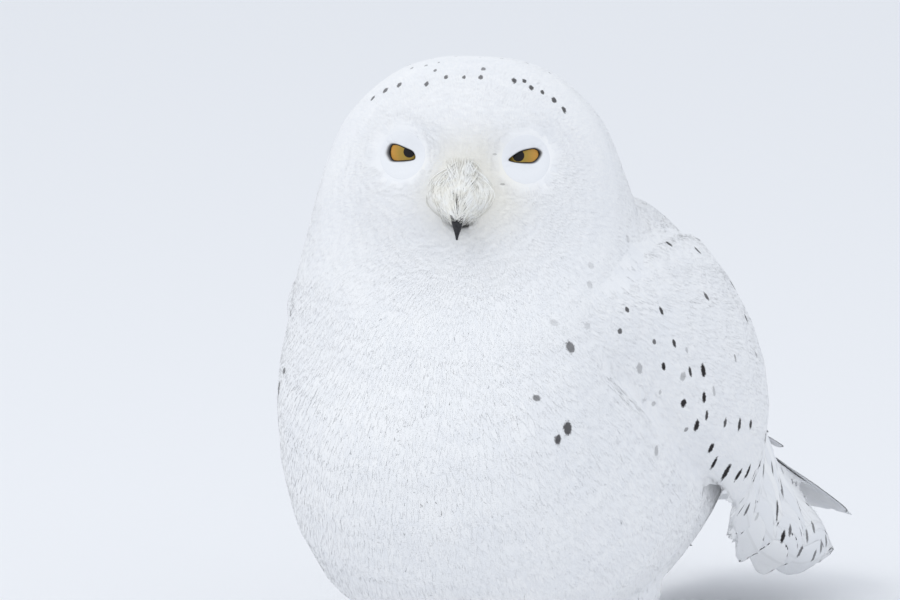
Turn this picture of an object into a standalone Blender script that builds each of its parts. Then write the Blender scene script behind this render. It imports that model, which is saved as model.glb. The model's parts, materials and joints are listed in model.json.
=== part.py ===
"""Snowy owl, adult male, life size, crouched on the ground with its head turned.

The bird faces -Y, its own left is +X, and +Z is up. The floor is z = 0 under the toes.
Every solid reaches out to the tips of the feathers. Numbers in the tables are
millimetres and become metres through MM. The tables put y = 0 under the ears; at the end
the whole bird moves along Y until the middle of its length is over the origin.
"""
import math

import bmesh
import bpy
from mathutils import Matrix, Vector

MM = 0.001
GAP = 0.3 * MM

# --- Head: the face is built looking along -Y, then turned as one piece -------------
HEAD_PIVOT = Vector((0.0, 8.0, 262.0)) * MM
HEAD_YAW = math.radians(20.5)
HEAD_PITCH = math.radians(6.0)
HEAD_ROLL = math.radians(1.2)
EYE_SPREAD = 27.6 * MM
EYE_HEIGHT = 286.5 * MM
EYE_RADIUS = 12.5 * MM
EYE_CENTRE_Y = -35.5 * MM
EYE_TOE_OUT = math.radians(13.0)
LID_HALF_WIDTH = 7.4 * MM
LID_HALF_HEIGHT = 4.9 * MM
LID_SLANT = math.radians(9.0)
# distance out of the eye's centre, and how much wider the opening is there
LID_FUNNEL = ((4.0, 1.0), (11.0, 1.0), (14.0, 1.25), (24.0, 2.1))
LID_SIDES = 16
# name: how far forward, then centre and reach across, centre and reach above the eyes
FACE_RELIEF = {
    "eye_hollow": (-5.0, 30, 15, -3, 12),
    "bill_mound": (12.0, 0, 17, -24, 14),
    "bridge": (2.5, 0, 9, 0, 16),
    "jowl": (2.5, 36, 16, -30, 14),
}
BROW_HEIGHT, BROW_MIDDLE, BROW_REACH = 3.2, 26, 20
BROW_START, BROW_RISE, BROW_DEPTH = 6.1, 0.36, 7

# --- Plumage form: the outline of the bird from the crown to the root of the tail ---
# name: front (y, z), back (y, z), half width, share of the depth where it is widest,
# how far the station turns with the head
STATIONS = {
    "cap": ((-8, 331.8), (26, 331.8), 17, 0.50, 1.0),
    "crown": ((-25, 327), (43, 327), 34.5, 0.50, 1.0),
    "forehead": ((-41, 316), (58, 317), 50, 0.50, 1.0),
    "brow": ((-51, 303), (68, 304), 62, 0.50, 1.0),
    "eye": ((-55, 289), (74, 290), 69.5, 0.50, 1.0),
    "cheek": ((-57, 266), (80, 275), 76, 0.50, 0.9),
    "chin": ((-58, 241), (87, 263), 81, 0.48, 0.6),
    "throat": ((-68, 212), (98, 258), 86, 0.47, 0.25),
    "shoulder": ((-80, 184), (114, 254), 90, 0.46, 0.0),
    "breast": ((-90, 140), (134, 247), 94, 0.45, 0.0),
    "belly": ((-72, 82), (158, 235), 96, 0.45, 0.0),
    "thigh": ((-16, 40), (184, 217), 94, 0.46, 0.0),
    "vent": ((72, 33), (212, 192), 80, 0.50, 0.0),
    "rump": ((158, 50), (243, 164), 58, 0.52, 0.0),
    "tail_root": ((222, 76), (270, 133), 40, 0.55, 0.0),
    "tail_coverts": ((266, 84), (293, 107), 28, 0.55, 0.0),
}
CROWN_TOP = Vector((0.0, 9.0, 332.5)) * MM
RUMP_END = Vector((0.0, 312.0, 84.0)) * MM
RINGS_BETWEEN = 2
FACE_RINGS_BETWEEN = 3
AROUND = 36
FRONT_CROWDING = 0.32
FRONT_SQUARENESS = 2.35
BACK_SQUARENESS = 2.45

# --- Bill --------------------------------------------------------------------------
# centre line (y, z) in the head's own frame, half widths and half heights along it
UPPER_BILL = ((-46, 266), (-74, 271), (-72.5, 246))
UPPER_BILL_WIDTHS = (9, 8.6, 7, 4.2, 0.9)
UPPER_BILL_HEIGHTS = (9.5, 9, 7, 4, 0.9)
LOWER_BILL = ((-44, 256), (-60, 257), (-68, 252))
LOWER_BILL_WIDTHS = (8, 7.4, 5.6, 2.0)
LOWER_BILL_HEIGHTS = (5, 4.4, 3.2, 1.4)
BILL_STEPS = 7
BILL_SIDES = 12

# --- Wings: ribs from the wrist to the tip, for the left side ------------------------
# lower edge, outermost point and upper edge (x, y, z), thickness
WING_RIBS = (
    ((84, -20, 190), (87, -23, 207), (82, -16, 224), 3.0),
    ((93, 16, 158), (98, 14, 198), (86, 24, 237), 9.0),
    ((97, 66, 124), (108, 68, 180), (79, 79, 239), 11.0),
    ((89, 122, 92), (105, 122, 158), (68, 128, 229), 11.0),
    ((64, 172, 66), (78, 174, 128), (54, 181, 201), 10.0),
    ((52, 230, 44), (60, 232, 86), (36, 238, 153), 8.0),
    ((50, 280, 30), (55, 282, 52), (38, 284, 86), 6.0),
    ((45, 320, 22), (49, 322, 36), (41, 326, 58), 4.0),
    ((42, 347, 23), (44, 348, 28), (42, 349, 34), 2.0),
)
WING_STEPS = 2
WING_ACROSS = 7
WING_EDGE = 0.5 * MM
WING_GAP = 0.5 * MM
WING_CLEARANCE = 22.0 * MM
FIRST_PRIMARY_TIP = 5.0
PRIMARY_TIP_STEP = 4.0 * MM

# --- Tail ----------------------------------------------------------------------------
TAIL_ROOT = Vector((0.0, 228.0, 122.0)) * MM
TAIL_LENGTH = 186.0 * MM
TAIL_SLOPE = math.radians(-27.0)
TAIL_ROOT_HALF_WIDTH = 30.0 * MM
TAIL_END_HALF_WIDTH = 50.0 * MM
TAIL_FEATHERS = 12
TAIL_ROWS = 3
TAIL_ARCH = 8.0 * MM
TAIL_THICKNESS = (12.0 * MM, 4.0 * MM)
TAIL_EDGE = 1.2 * MM
# shares of the length: where the plain fan ends, the notch between two tips, one tip's
# reach past the notch, and how much shorter the outer feathers are
TAIL_FAN, TAIL_NOTCH, TAIL_TIP, TAIL_ROUNDING = 0.92, 0.93, 0.035, 0.06

# --- Legs and feet ---------------------------------------------------------------------
FOOT_X = 46.0 * MM
FOOT_Y = 72.0 * MM
# height, half width, half depth and shift along Y, from inside the belly to the ankle
LEG_LEVELS = ((74, 27, 32, -2), (54, 26, 30, -2), (40, 22, 25, -1), (27, 17.5, 19, 0), (15, 14.5, 15.5, 0))
LEG_SIDES = 16
# height and size of the sole's pad
PAD_LEVELS = ((0, 0.9), (6, 1.0), (12, 0.92), (17, 0.7))
PAD_HALF_WIDTH = 15.0 * MM
PAD_HALF_LENGTH = 17.0 * MM
PAD_SIDES = 12
TOE_RADIUS = 9.8 * MM
TOE_SIDES = 8
TOE_AXIS_HEIGHT = 0.86
# share of the toe's length, share of its radius
TOE_PROFILE = ((0.0, 1.05), (0.4, 0.96), (0.75, 1.0), (0.92, 0.84), (1.0, 0.5))
# name: direction from straight ahead, positive outward, and length to the claw's root
TOES = {
    "inner": (-16.0, 43.0),
    "middle": (10.0, 48.0),
    "outer": (62.0, 40.0),
    "hind": (176.0, 28.0),
}
CLAW_LENGTH = 19.0 * MM
CLAW_RADIUS = 3.2 * MM
CLAW_TIP_RADIUS = 0.25 * MM
CLAW_BEND = 1.25
CLAW_ROOT_HEIGHT = 11.8 * MM
CLAW_ROOT_DEPTH = 6.0 * MM
CLAW_STEPS = 5
CLAW_SIDES = 7

SIDES = {"left": 1, "right": -1}


def material(name, colour, roughness):
    """Return a Principled material."""
    made = bpy.data.materials.new(name)
    made.use_nodes = True
    shader = made.node_tree.nodes["Principled BSDF"]
    shader.inputs["Base Color"].default_value = (*colour, 1.0)
    shader.inputs["Roughness"].default_value = roughness
    shader.inputs["Metallic"].default_value = 0.0
    return made


def collection(name):
    """Return a new collection linked to the scene."""
    made = bpy.data.collections.new(name)
    bpy.context.scene.collection.children.link(made)
    return made


def smooth_between(values, t):
    """Catmull-Rom through equally spaced values, each a number or a Vector."""
    last = len(values) - 1
    i = min(int(t), last - 1)
    f = t - i
    p0 = values[max(i - 1, 0)]
    p1 = values[i]
    p2 = values[i + 1]
    p3 = values[min(i + 2, last)]
    return 0.5 * (
        2.0 * p1
        + (p2 - p0) * f
        + (2.0 * p0 - 5.0 * p1 + 4.0 * p2 - p3) * f * f
        + (3.0 * p1 - p0 - 3.0 * p2 + p3) * f * f * f
    )


def bezier(points, t):
    """Point on a quadratic curve in the bird's plane of symmetry."""
    a, b, c = (Vector((0.0, y, z)) * MM for y, z in points)
    return a * (1 - t) ** 2 + b * 2 * t * (1 - t) + c * t * t


def loft(name, rings, shade, group, start=None, end=None):
    """Join closed rings of equal length; each end is a point, or a flat face if None."""
    bm = bmesh.new()
    made = [[bm.verts.new(p) for p in ring] for ring in rings]
    for near, far in zip(made, made[1:]):
        for i in range(len(near)):
            j = (i + 1) % len(near)
            bm.faces.new((near[i], near[j], far[j]))
            bm.faces.new((near[i], far[j], far[i]))
    for ring, tip in ((made[0], start), (made[-1], end)):
        if tip is None:
            bm.faces.new(ring)
        else:
            point = bm.verts.new(tip)
            for i in range(len(ring)):
                bm.faces.new((ring[i], ring[(i + 1) % len(ring)], point))
    bmesh.ops.recalc_face_normals(bm, faces=bm.faces)
    mesh = bpy.data.meshes.new(name)
    bm.to_mesh(mesh)
    bm.free()
    mesh.shade_smooth()
    mesh.set_sharp_from_angle(angle=math.radians(50))
    made_object = bpy.data.objects.new(name, mesh)
    if shade:
        mesh.materials.append(shade)
    group.objects.link(made_object)
    return made_object


def angles(count):
    """Equal angles once round a circle."""
    return [2 * math.pi * k / count for k in range(count)]


def as_cutter(piece):
    """Mark an object as a cutter: drawn as wires and never rendered."""
    piece.hide_render = True
    piece.display_type = "WIRE"
    return piece


def boolean(piece, other, operation):
    """Add a Boolean modifier that uses another object."""
    made = piece.modifiers.new(f"{operation}_{other.name}", "BOOLEAN")
    made.operation = operation
    made.object = other
    made.solver = "EXACT"


def mirrored(points, side):
    """Points for the given side of the bird, kept in a ring's order."""
    return [Vector((side * p.x, p.y, p.z)) for p in points]


# --- Plumage form ------------------------------------------------------------------------

def head_turn(share):
    """The head's turn about its pivot, scaled by how far the plumage follows it."""
    turn = (
        Matrix.Rotation(HEAD_YAW * share, 4, "Z")
        @ Matrix.Rotation(-HEAD_PITCH * share, 4, "X")
        @ Matrix.Rotation(HEAD_ROLL * share, 4, "Y")
    )
    return Matrix.Translation(HEAD_PIVOT) @ turn @ Matrix.Translation(-HEAD_PIVOT)


def bump(distance, reach):
    """A smooth bell of height one."""
    return math.exp(-(distance / reach) ** 2)


def face_relief(x, z):
    """How far the face stands forward of the plain form, by place on the face."""
    across = abs(x) / MM
    up = (z - EYE_HEIGHT) / MM
    forward = 0.0
    for height, middle, reach_across, level, reach_up in FACE_RELIEF.values():
        forward += height * bump(across - middle, reach_across) * bump(up - level, reach_up)
    brow_line = BROW_START + BROW_RISE * across
    forward += BROW_HEIGHT * bump(up - brow_line, BROW_DEPTH) * bump(across - BROW_MIDDLE, BROW_REACH)
    return forward * MM


def plumage_ring(t):
    """One ring of the plumage form at station number t."""
    rows = list(STATIONS.values())
    front = smooth_between([Vector((0, *row[0])) for row in rows], t) * MM
    back = smooth_between([Vector((0, *row[1])) for row in rows], t) * MM
    half_width = smooth_between([row[2] for row in rows], t) * MM
    widest = smooth_between([row[3] for row in rows], t)
    share = min(1.0, max(0.0, smooth_between([row[4] for row in rows], t)))
    centre = front.lerp(back, widest)
    turn = head_turn(share)
    face = min(1.0, max(0.0, list(STATIONS).index("chin") - t))
    points = []
    for i in range(AROUND):
        step = 2 * math.pi * i / AROUND
        angle = step - FRONT_CROWDING * math.sin(step)
        across = math.sin(angle)
        along = math.cos(angle)
        reach = front - centre if along > 0 else back - centre
        power = 2 / (FRONT_SQUARENESS if along > 0 else BACK_SQUARENESS)
        point = centre + reach * abs(along) ** power
        point.x += math.copysign(half_width * abs(across) ** power, across)
        if along > 0:
            point.y -= face_relief(point.x, point.z) * min(1.0, along * 2.5) * face
        points.append(turn @ point)
    return points


def station_range(first, last):
    """Station numbers from one named station to another, closer together on the face."""
    names = list(STATIONS)
    a, b = names.index(first), names.index(last)
    numbers = []
    for station in range(a, b):
        on_face = names.index("brow") <= station < names.index("chin")
        count = FACE_RINGS_BETWEEN if on_face else RINGS_BETWEEN
        numbers += [station + i / count for i in range(count)]
    return numbers + [b]


def pulled_in(ring, towards):
    """A ring moved half a gap towards the inside of its own piece."""
    centre = sum(ring, Vector()) / len(ring)
    shift = (towards - centre).normalized() * GAP / 2
    return [p + shift for p in ring]


def plumage_piece(name, first, last, shade, group, start=None, end=None):
    """A length of the plumage form, with flat cuts where it meets its neighbours."""
    rings = [plumage_ring(t) for t in station_range(first, last)]
    middle = rings[len(rings) // 2]
    inside = sum(middle, Vector()) / len(middle)
    if start is None:
        rings[0] = pulled_in(rings[0], inside)
    if end is None:
        rings[-1] = pulled_in(rings[-1], inside)
    return loft(name, rings, shade, group, start, end)


# --- Eyes ----------------------------------------------------------------------------------

def eye_frame(side):
    """Place of an eye: its own -Y looks out of the lids."""
    return (
        head_turn(1.0)
        @ Matrix.Translation((side * EYE_SPREAD, EYE_CENTRE_Y, EYE_HEIGHT))
        @ Matrix.Rotation(side * EYE_TOE_OUT, 4, "Z")
    )


def ball(name, radius, place, shade, group):
    """A sphere in a frame."""
    bm = bmesh.new()
    bmesh.ops.create_uvsphere(bm, u_segments=14, v_segments=8, radius=radius)
    bm.transform(place @ Matrix.Rotation(math.pi / 2, 4, "X"))
    mesh = bpy.data.meshes.new(name)
    bm.to_mesh(mesh)
    bm.free()
    mesh.shade_smooth()
    if shade:
        mesh.materials.append(shade)
    made = bpy.data.objects.new(name, mesh)
    group.objects.link(made)
    return made


def lid_opening(name, side, group):
    """The gap between the lids: an oval funnel that widens outward."""
    place = eye_frame(side) @ Matrix.Rotation(-side * LID_SLANT, 4, "Y")
    rings = []
    for out, grow in LID_FUNNEL:
        ring = []
        for angle in angles(LID_SIDES):
            x = LID_HALF_WIDTH * grow * math.cos(angle)
            z = LID_HALF_HEIGHT * grow * math.sin(angle)
            ring.append(place @ Vector((x, -out * MM, z)))
        rings.append(ring)
    return as_cutter(loft(name, rings, None, group))


# --- Bill ----------------------------------------------------------------------------------

def bill_half(name, line, widths, heights, shade, group, grow=0.0):
    """A horn that tapers along its centre line; widths and heights are half sizes."""
    turn = head_turn(1.0)
    rings = []
    for i in range(BILL_STEPS + 1):
        t = i / BILL_STEPS
        centre = bezier(line, t)
        ahead = (bezier(line, min(1.0, t + 0.01)) - bezier(line, t - 0.01)).normalized()
        across = Vector((1, 0, 0))
        up = across.cross(ahead)
        wide = smooth_between(widths, t * (len(widths) - 1)) * MM + grow
        tall = smooth_between(heights, t * (len(heights) - 1)) * MM + grow
        if i == BILL_STEPS:
            centre = centre + ahead * grow
        rings.append([
            turn @ (centre + across * wide * math.cos(a) + up * tall * math.sin(a))
            for a in angles(BILL_SIDES)
        ])
    return loft(name, rings, shade, group)


def upper_bill(name, shade, group, grow=0.0):
    """Upper half of the bill, hooked down over the lower one."""
    sizes = (UPPER_BILL_WIDTHS, UPPER_BILL_HEIGHTS)
    return bill_half(name, UPPER_BILL, *sizes, shade, group, grow)


def lower_bill(name, shade, group, grow=0.0):
    """Lower half of the bill."""
    sizes = (LOWER_BILL_WIDTHS, LOWER_BILL_HEIGHTS)
    return bill_half(name, LOWER_BILL, *sizes, shade, group, grow)


# --- Wings ---------------------------------------------------------------------------------

def arc_point(low, mid, high, v):
    """Point on the smooth curve through a rib's lower, outermost and upper points."""
    bend = mid - (low + high) / 2
    return low.lerp(high, v) + bend * 4 * v * (1 - v)


def wing(name, side, shade, group, grow=0.0, outward=0.0):
    """A folded wing: a thin shell that hugs the body and tapers to the tip."""
    lows, mids, highs = ([Vector(rib[k]) * MM for rib in WING_RIBS] for k in range(3))
    thicks = [rib[3] * MM for rib in WING_RIBS]
    rings = []
    for i in range((len(WING_RIBS) - 1) * WING_STEPS + 1):
        t = i / WING_STEPS
        low, mid, high = (smooth_between(points, t) for points in (lows, mids, highs))
        thick = smooth_between(thicks, t)
        if i % 2 and t > FIRST_PRIMARY_TIP:
            high = high + (high - mid).normalized() * PRIMARY_TIP_STEP
        plane = (mid - low).cross(high - mid).normalized()
        outer, inner = [], []
        for k in range(WING_ACROSS + 1):
            v = k / WING_ACROSS
            here = arc_point(low, mid, high, v)
            ahead = arc_point(low, mid, high, v + 0.01) - arc_point(low, mid, high, v - 0.01)
            out = ahead.cross(plane).normalized()
            edge = 1 - abs(2 * v - 1) ** 3
            half = max(WING_EDGE, thick * edge / 2) + grow
            slide = ahead.normalized() * grow * (2 * v - 1)
            outer.append(here + out * (half + outward) + slide)
            inner.append(here - out * half + slide)
        rings.append(mirrored(outer + inner[::-1], side))
    if grow:
        rings[0] = [p + (rings[0][0] - rings[1][0]).normalized() * grow for p in rings[0]]
        rings[-1] = [p + (rings[-1][0] - rings[-2][0]).normalized() * grow for p in rings[-1]]
    return loft(name, rings, shade, group)


# --- Tail ----------------------------------------------------------------------------------

def tail(name, shade, group, grow=0.0):
    """A closed fan of feathers: arched across, with a tip for each feather at its end."""
    along = Vector((0, math.cos(TAIL_SLOPE), math.sin(TAIL_SLOPE)))
    up = Vector((0, -math.sin(TAIL_SLOPE), math.cos(TAIL_SLOPE)))
    across = TAIL_FEATHERS * 2
    rings = []
    for i in range(TAIL_ROWS + 1):
        t = i / TAIL_ROWS
        half = TAIL_ROOT_HALF_WIDTH + (TAIL_END_HALF_WIDTH - TAIL_ROOT_HALF_WIDTH) * t ** 0.8
        thick = TAIL_THICKNESS[0] + (TAIL_THICKNESS[1] - TAIL_THICKNESS[0]) * t
        top, under = [], []
        for k in range(across + 1):
            u = 2 * k / across - 1
            tip = t * TAIL_FAN
            if i == TAIL_ROWS:
                tip = TAIL_NOTCH + TAIL_TIP * (k % 2) - TAIL_ROUNDING * u * u
            droop = TAIL_ARCH * (u * u) * (0.5 + 0.5 * t)
            here = TAIL_ROOT + along * (TAIL_LENGTH * tip) - up * droop
            here = here + Vector((u * (half + grow), 0, 0))
            half_thick = max(TAIL_EDGE, thick / 2 * (1 - abs(u) ** 4)) + grow
            top.append(here + up * half_thick)
            under.append(here - up * half_thick)
        rings.append(top + under[::-1])
    return loft(name, rings, shade, group)


# --- Legs and feet ---------------------------------------------------------------------------

def leg(name, side, shade, group, grow=0.0):
    """A feathered leg, wide where it leaves the belly and round at the ankle."""
    rings = []
    for height, wide, deep, back in LEG_LEVELS:
        z = height * MM
        if height == LEG_LEVELS[0][0]:
            z += grow
        if height == LEG_LEVELS[-1][0]:
            z -= grow
        ring = []
        for angle in angles(LEG_SIDES):
            x = side * FOOT_X + (wide * MM + grow) * math.cos(angle)
            y = FOOT_Y + back * MM + (deep * MM + grow) * math.sin(angle)
            ring.append(Vector((x, y, z)))
        rings.append(ring)
    return loft(name, rings, shade, group)


def toe_direction(side, degrees):
    """Unit vector along a toe on the floor."""
    angle = math.radians(degrees)
    return Vector((side * math.sin(angle), -math.cos(angle), 0))


def toe(name, side, degrees, length, group):
    """A feathered toe, flat under its sole."""
    ahead = toe_direction(side, degrees)
    across = Vector((-ahead.y, ahead.x, 0))
    root = Vector((side * FOOT_X, FOOT_Y, 0))
    rings = []
    for share, size in TOE_PROFILE:
        radius = TOE_RADIUS * size
        centre = root + ahead * (length * MM * share)
        ring = []
        for angle in angles(TOE_SIDES):
            angle += math.pi / TOE_SIDES
            height = max(0.0, radius * (TOE_AXIS_HEIGHT + math.sin(angle)))
            ring.append(centre + across * (radius * math.cos(angle)) + Vector((0, 0, height)))
        rings.append(ring)
    return as_cutter(loft(name, rings, None, group))


def claw(name, side, degrees, length, shade, group, grow=0.0):
    """A curved claw that leaves the top of the toe's end and comes down to its point."""
    ahead = toe_direction(side, degrees)
    across = Vector((-ahead.y, ahead.x, 0))
    start = Vector((side * FOOT_X, FOOT_Y, 0)) + ahead * (length * MM - CLAW_ROOT_DEPTH)
    rings = []
    for i in range(CLAW_STEPS + 1):
        t = i / CLAW_STEPS
        bend = CLAW_BEND * t
        reach = CLAW_LENGTH * math.sin(bend) / CLAW_BEND
        drop = CLAW_LENGTH * (1 - math.cos(bend)) / CLAW_BEND
        centre = start + ahead * reach + Vector((0, 0, CLAW_ROOT_HEIGHT - drop))
        tangent = ahead * math.cos(bend) - Vector((0, 0, math.sin(bend)))
        up = across.cross(tangent)
        radius = CLAW_RADIUS * (1 - t) ** 0.7 + CLAW_TIP_RADIUS + grow
        if grow and i == 0:
            centre -= ahead * grow
        rings.append([
            centre + across * radius * math.cos(a) + up * radius * math.sin(a)
            for a in angles(CLAW_SIDES)
        ])
    return loft(name, rings, shade, group)


def foot(name, side, shade, group, cutters):
    """The sole and four toes of one foot, joined into one solid."""
    rings = []
    for height, size in PAD_LEVELS:
        ring = []
        for angle in angles(PAD_SIDES):
            x = side * FOOT_X + PAD_HALF_WIDTH * size * math.cos(angle)
            y = FOOT_Y + PAD_HALF_LENGTH * size * math.sin(angle)
            ring.append(Vector((x, y, height * MM)))
        rings.append(ring)
    made = loft(name, rings, shade, group)
    for label, (degrees, length) in TOES.items():
        boolean(made, toe(f"{name}_{label}_toe", side, degrees, length, cutters), "UNION")
    return made


def centre_over_origin(group, cutters):
    """Hang everything on one empty and bring the middle of the bird's length over it."""
    bpy.context.view_layer.update()
    depsgraph = bpy.context.evaluated_depsgraph_get()
    corners = []
    for piece in group.objects:
        seen = piece.evaluated_get(depsgraph)
        corners += [seen.matrix_world @ Vector(corner) for corner in seen.bound_box]
    low = min(corner.y for corner in corners)
    high = max(corner.y for corner in corners)
    root = bpy.data.objects.new("owl_root", None)
    bpy.context.scene.collection.objects.link(root)
    for piece in (*group.objects, *cutters.objects):
        piece.parent = root
    root.location.y = -(low + high) / 2


def build():
    """Make every piece of the owl."""
    for old in list(bpy.data.objects):
        bpy.data.objects.remove(old, do_unlink=True)
    owl = collection("snowy_owl")
    cutters = collection("cutters")
    plumage = material("plumage", (0.86, 0.87, 0.88), 0.85)
    flight = material("flight_feathers", (0.80, 0.80, 0.80), 0.75)
    iris = material("eye", (0.62, 0.36, 0.06), 0.08)
    horn = material("bill", (0.03, 0.03, 0.035), 0.35)
    black_horn = material("claw", (0.02, 0.02, 0.022), 0.3)

    head = plumage_piece("head", "cap", "chin", plumage, owl, start=CROWN_TOP)
    neck = plumage_piece("neck", "chin", "shoulder", plumage, owl)
    trunk = plumage_piece("trunk", "shoulder", "tail_coverts", plumage, owl, end=RUMP_END)

    upper_bill("beak_upper", horn, owl)
    lower = lower_bill("beak_lower", horn, owl)
    upper_cutter = as_cutter(upper_bill("beak_upper_room", None, cutters, GAP))
    boolean(lower, upper_cutter, "DIFFERENCE")
    boolean(head, upper_cutter, "DIFFERENCE")
    boolean(head, as_cutter(lower_bill("beak_lower_room", None, cutters, GAP)), "DIFFERENCE")

    tail("tail", flight, owl)
    tail_room = as_cutter(tail("tail_room", None, cutters, GAP))
    boolean(trunk, tail_room, "DIFFERENCE")

    for label, side in SIDES.items():
        ball(f"eye_{label}", EYE_RADIUS, eye_frame(side), iris, owl)
        socket = ball(f"socket_{label}", EYE_RADIUS + GAP * 1.5, eye_frame(side), None, cutters)
        boolean(head, as_cutter(socket), "DIFFERENCE")
        boolean(head, lid_opening(f"lids_{label}", side, cutters), "DIFFERENCE")

        folded = wing(f"wing_{label}", side, flight, owl)
        boolean(folded, tail_room, "DIFFERENCE")
        wing_room = as_cutter(
            wing(f"wing_room_{label}", side, None, cutters, WING_GAP, WING_CLEARANCE)
        )
        boolean(trunk, wing_room, "DIFFERENCE")
        boolean(neck, wing_room, "DIFFERENCE")

        shank = leg(f"leg_{label}", side, plumage, owl)
        boolean(shank, wing_room, "DIFFERENCE")
        leg_room = as_cutter(leg(f"leg_room_{label}", side, None, cutters, GAP))
        boolean(trunk, leg_room, "DIFFERENCE")
        sole = foot(f"foot_{label}", side, plumage, owl, cutters)
        boolean(sole, leg_room, "DIFFERENCE")
        for toe_name, (degrees, length) in TOES.items():
            claw(f"claw_{label}_{toe_name}", side, degrees, length, black_horn, owl)
            room = claw(f"claw_room_{label}_{toe_name}", side, degrees, length, None, cutters, GAP)
            boolean(sole, as_cutter(room), "DIFFERENCE")
    centre_over_origin(owl, cutters)


build()
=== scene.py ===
"""Snowy owl: skin, plumage, eyes, bill and claws over the owl's solids, and a stage for it.

The bird faces -Y, its own left is +X, +Z is up and the floor is z = 0. Tables hold
millimetres with y = 0 under the ears; place() brings them into the frame of the solids.
"""

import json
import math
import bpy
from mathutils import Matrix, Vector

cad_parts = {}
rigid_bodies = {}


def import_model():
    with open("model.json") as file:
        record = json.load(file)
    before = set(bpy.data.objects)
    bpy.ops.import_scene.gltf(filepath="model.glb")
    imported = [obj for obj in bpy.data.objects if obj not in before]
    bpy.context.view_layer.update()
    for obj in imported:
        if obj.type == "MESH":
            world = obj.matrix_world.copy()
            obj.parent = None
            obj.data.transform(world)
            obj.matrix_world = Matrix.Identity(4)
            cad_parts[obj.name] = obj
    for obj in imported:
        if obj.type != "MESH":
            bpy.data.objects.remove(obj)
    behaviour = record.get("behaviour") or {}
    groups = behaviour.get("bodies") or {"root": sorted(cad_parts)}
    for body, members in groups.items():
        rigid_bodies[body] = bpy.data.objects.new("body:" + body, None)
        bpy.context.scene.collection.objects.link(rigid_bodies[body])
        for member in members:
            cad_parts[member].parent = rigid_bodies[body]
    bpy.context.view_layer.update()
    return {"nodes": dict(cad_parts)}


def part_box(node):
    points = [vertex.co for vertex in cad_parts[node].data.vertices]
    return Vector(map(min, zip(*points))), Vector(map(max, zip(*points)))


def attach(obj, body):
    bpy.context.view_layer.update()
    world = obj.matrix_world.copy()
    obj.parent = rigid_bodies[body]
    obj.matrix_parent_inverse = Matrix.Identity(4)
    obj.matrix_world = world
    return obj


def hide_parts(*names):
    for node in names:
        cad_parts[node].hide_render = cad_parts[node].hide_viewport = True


bl_info = {
    "name": "Snowy Owl",
    "version": (1, 0, 0),
    "blender": (4, 5, 0),
    "location": "View3D > Sidebar > Snowy Owl",
    "description": "Builds the plumage, eyes, bill, claws and stage of a life-size snowy owl",
    "category": "Object",
}

import bmesh
import bpy
import numpy as np
from bpy.props import FloatProperty, FloatVectorProperty, IntProperty, PointerProperty
from mathutils import Matrix, Vector
from mathutils.bvhtree import BVHTree
from mathutils.kdtree import KDTree

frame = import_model()

MM = 0.001
BREAST_FRONT = -90.0
SHIFT = Vector((0.0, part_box("trunk")[0][1] - BREAST_FRONT * MM, 0.0))
SIDES = {"left": 1, "right": -1}
FLESH = (
    "head", "neck", "trunk", "tail", "wing_left", "wing_right",
    "leg_left", "leg_right", "foot_left", "foot_right",
)

# --- Head ----------------------------------------------------------------------------
HEAD_PIVOT = Vector((0.0, 8.0, 262.0)) * MM
HEAD_YAW = math.radians(20.5)
HEAD_PITCH = math.radians(6.0)
HEAD_ROLL = math.radians(1.2)
EYE_SPREAD = 27.6 * MM
EYE_HEIGHT = 285.4 * MM
EYE_RADIUS = 12.5 * MM
EYE_CENTRE_Y = -35.5 * MM
EYE_TOE_OUT = math.radians(13.0)
FACE_CENTRE = (0.0, -52.0, 274.0)

# --- Bill: centre line (y, z), half widths and half heights ---------------------------
UPPER_BILL = ((-46, 266), (-74, 271), (-72.5, 246))
UPPER_BILL_WIDTHS = (8.5, 8.2, 7, 4.2, 0.5)
UPPER_BILL_HEIGHTS = (9.5, 9, 7, 4, 0.7)
LOWER_BILL = ((-44, 256), (-60, 257), (-68, 252))
LOWER_BILL_WIDTHS = (5, 4.6, 3.4, 1.2)
LOWER_BILL_HEIGHTS = (5, 4.4, 3.2, 1.4)

# --- Wings: lower, outermost and upper point of each rib, and its thickness -------------
WING_RIBS = (
    ((84, -20, 190), (87, -23, 207), (82, -16, 224), 3.0),
    ((93, 16, 158), (98, 14, 198), (86, 24, 237), 9.0),
    ((97, 66, 124), (108, 68, 180), (79, 79, 239), 11.0),
    ((89, 122, 92), (105, 122, 158), (68, 128, 229), 11.0),
    ((64, 172, 66), (78, 174, 128), (54, 181, 201), 10.0),
    ((52, 230, 44), (60, 232, 86), (36, 238, 153), 8.0),
    ((50, 280, 30), (55, 282, 52), (38, 284, 86), 6.0),
    ((45, 320, 22), (49, 322, 36), (41, 326, 58), 4.0),
    ((42, 347, 23), (44, 348, 28), (42, 349, 34), 2.0),
)

# --- Tail ----------------------------------------------------------------------------
TAIL_ROOT = Vector((0.0, 228.0, 122.0)) * MM
TAIL_LENGTH = 186.0 * MM
TAIL_SLOPE = math.radians(-27.0)

# --- Feet ----------------------------------------------------------------------------
FOOT_X = 46.0 * MM
FOOT_Y = 72.0 * MM
TOES = {"inner": (-16.0, 43.0), "middle": (10.0, 48.0), "outer": (62.0, 40.0), "hind": (176.0, 28.0)}
CLAW_LENGTH = 19.0 * MM
CLAW_RADIUS = 3.2 * MM
CLAW_BEND = 1.25
CLAW_ROOT_HEIGHT = 11.8 * MM
CLAW_ROOT_DEPTH = 6.0 * MM


# --- Small helpers -----------------------------------------------------------------------

def place(x, y, z):
    """A point of the tables in the frame of the solids."""
    return Vector((x, y, z)) * MM + SHIFT


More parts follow.
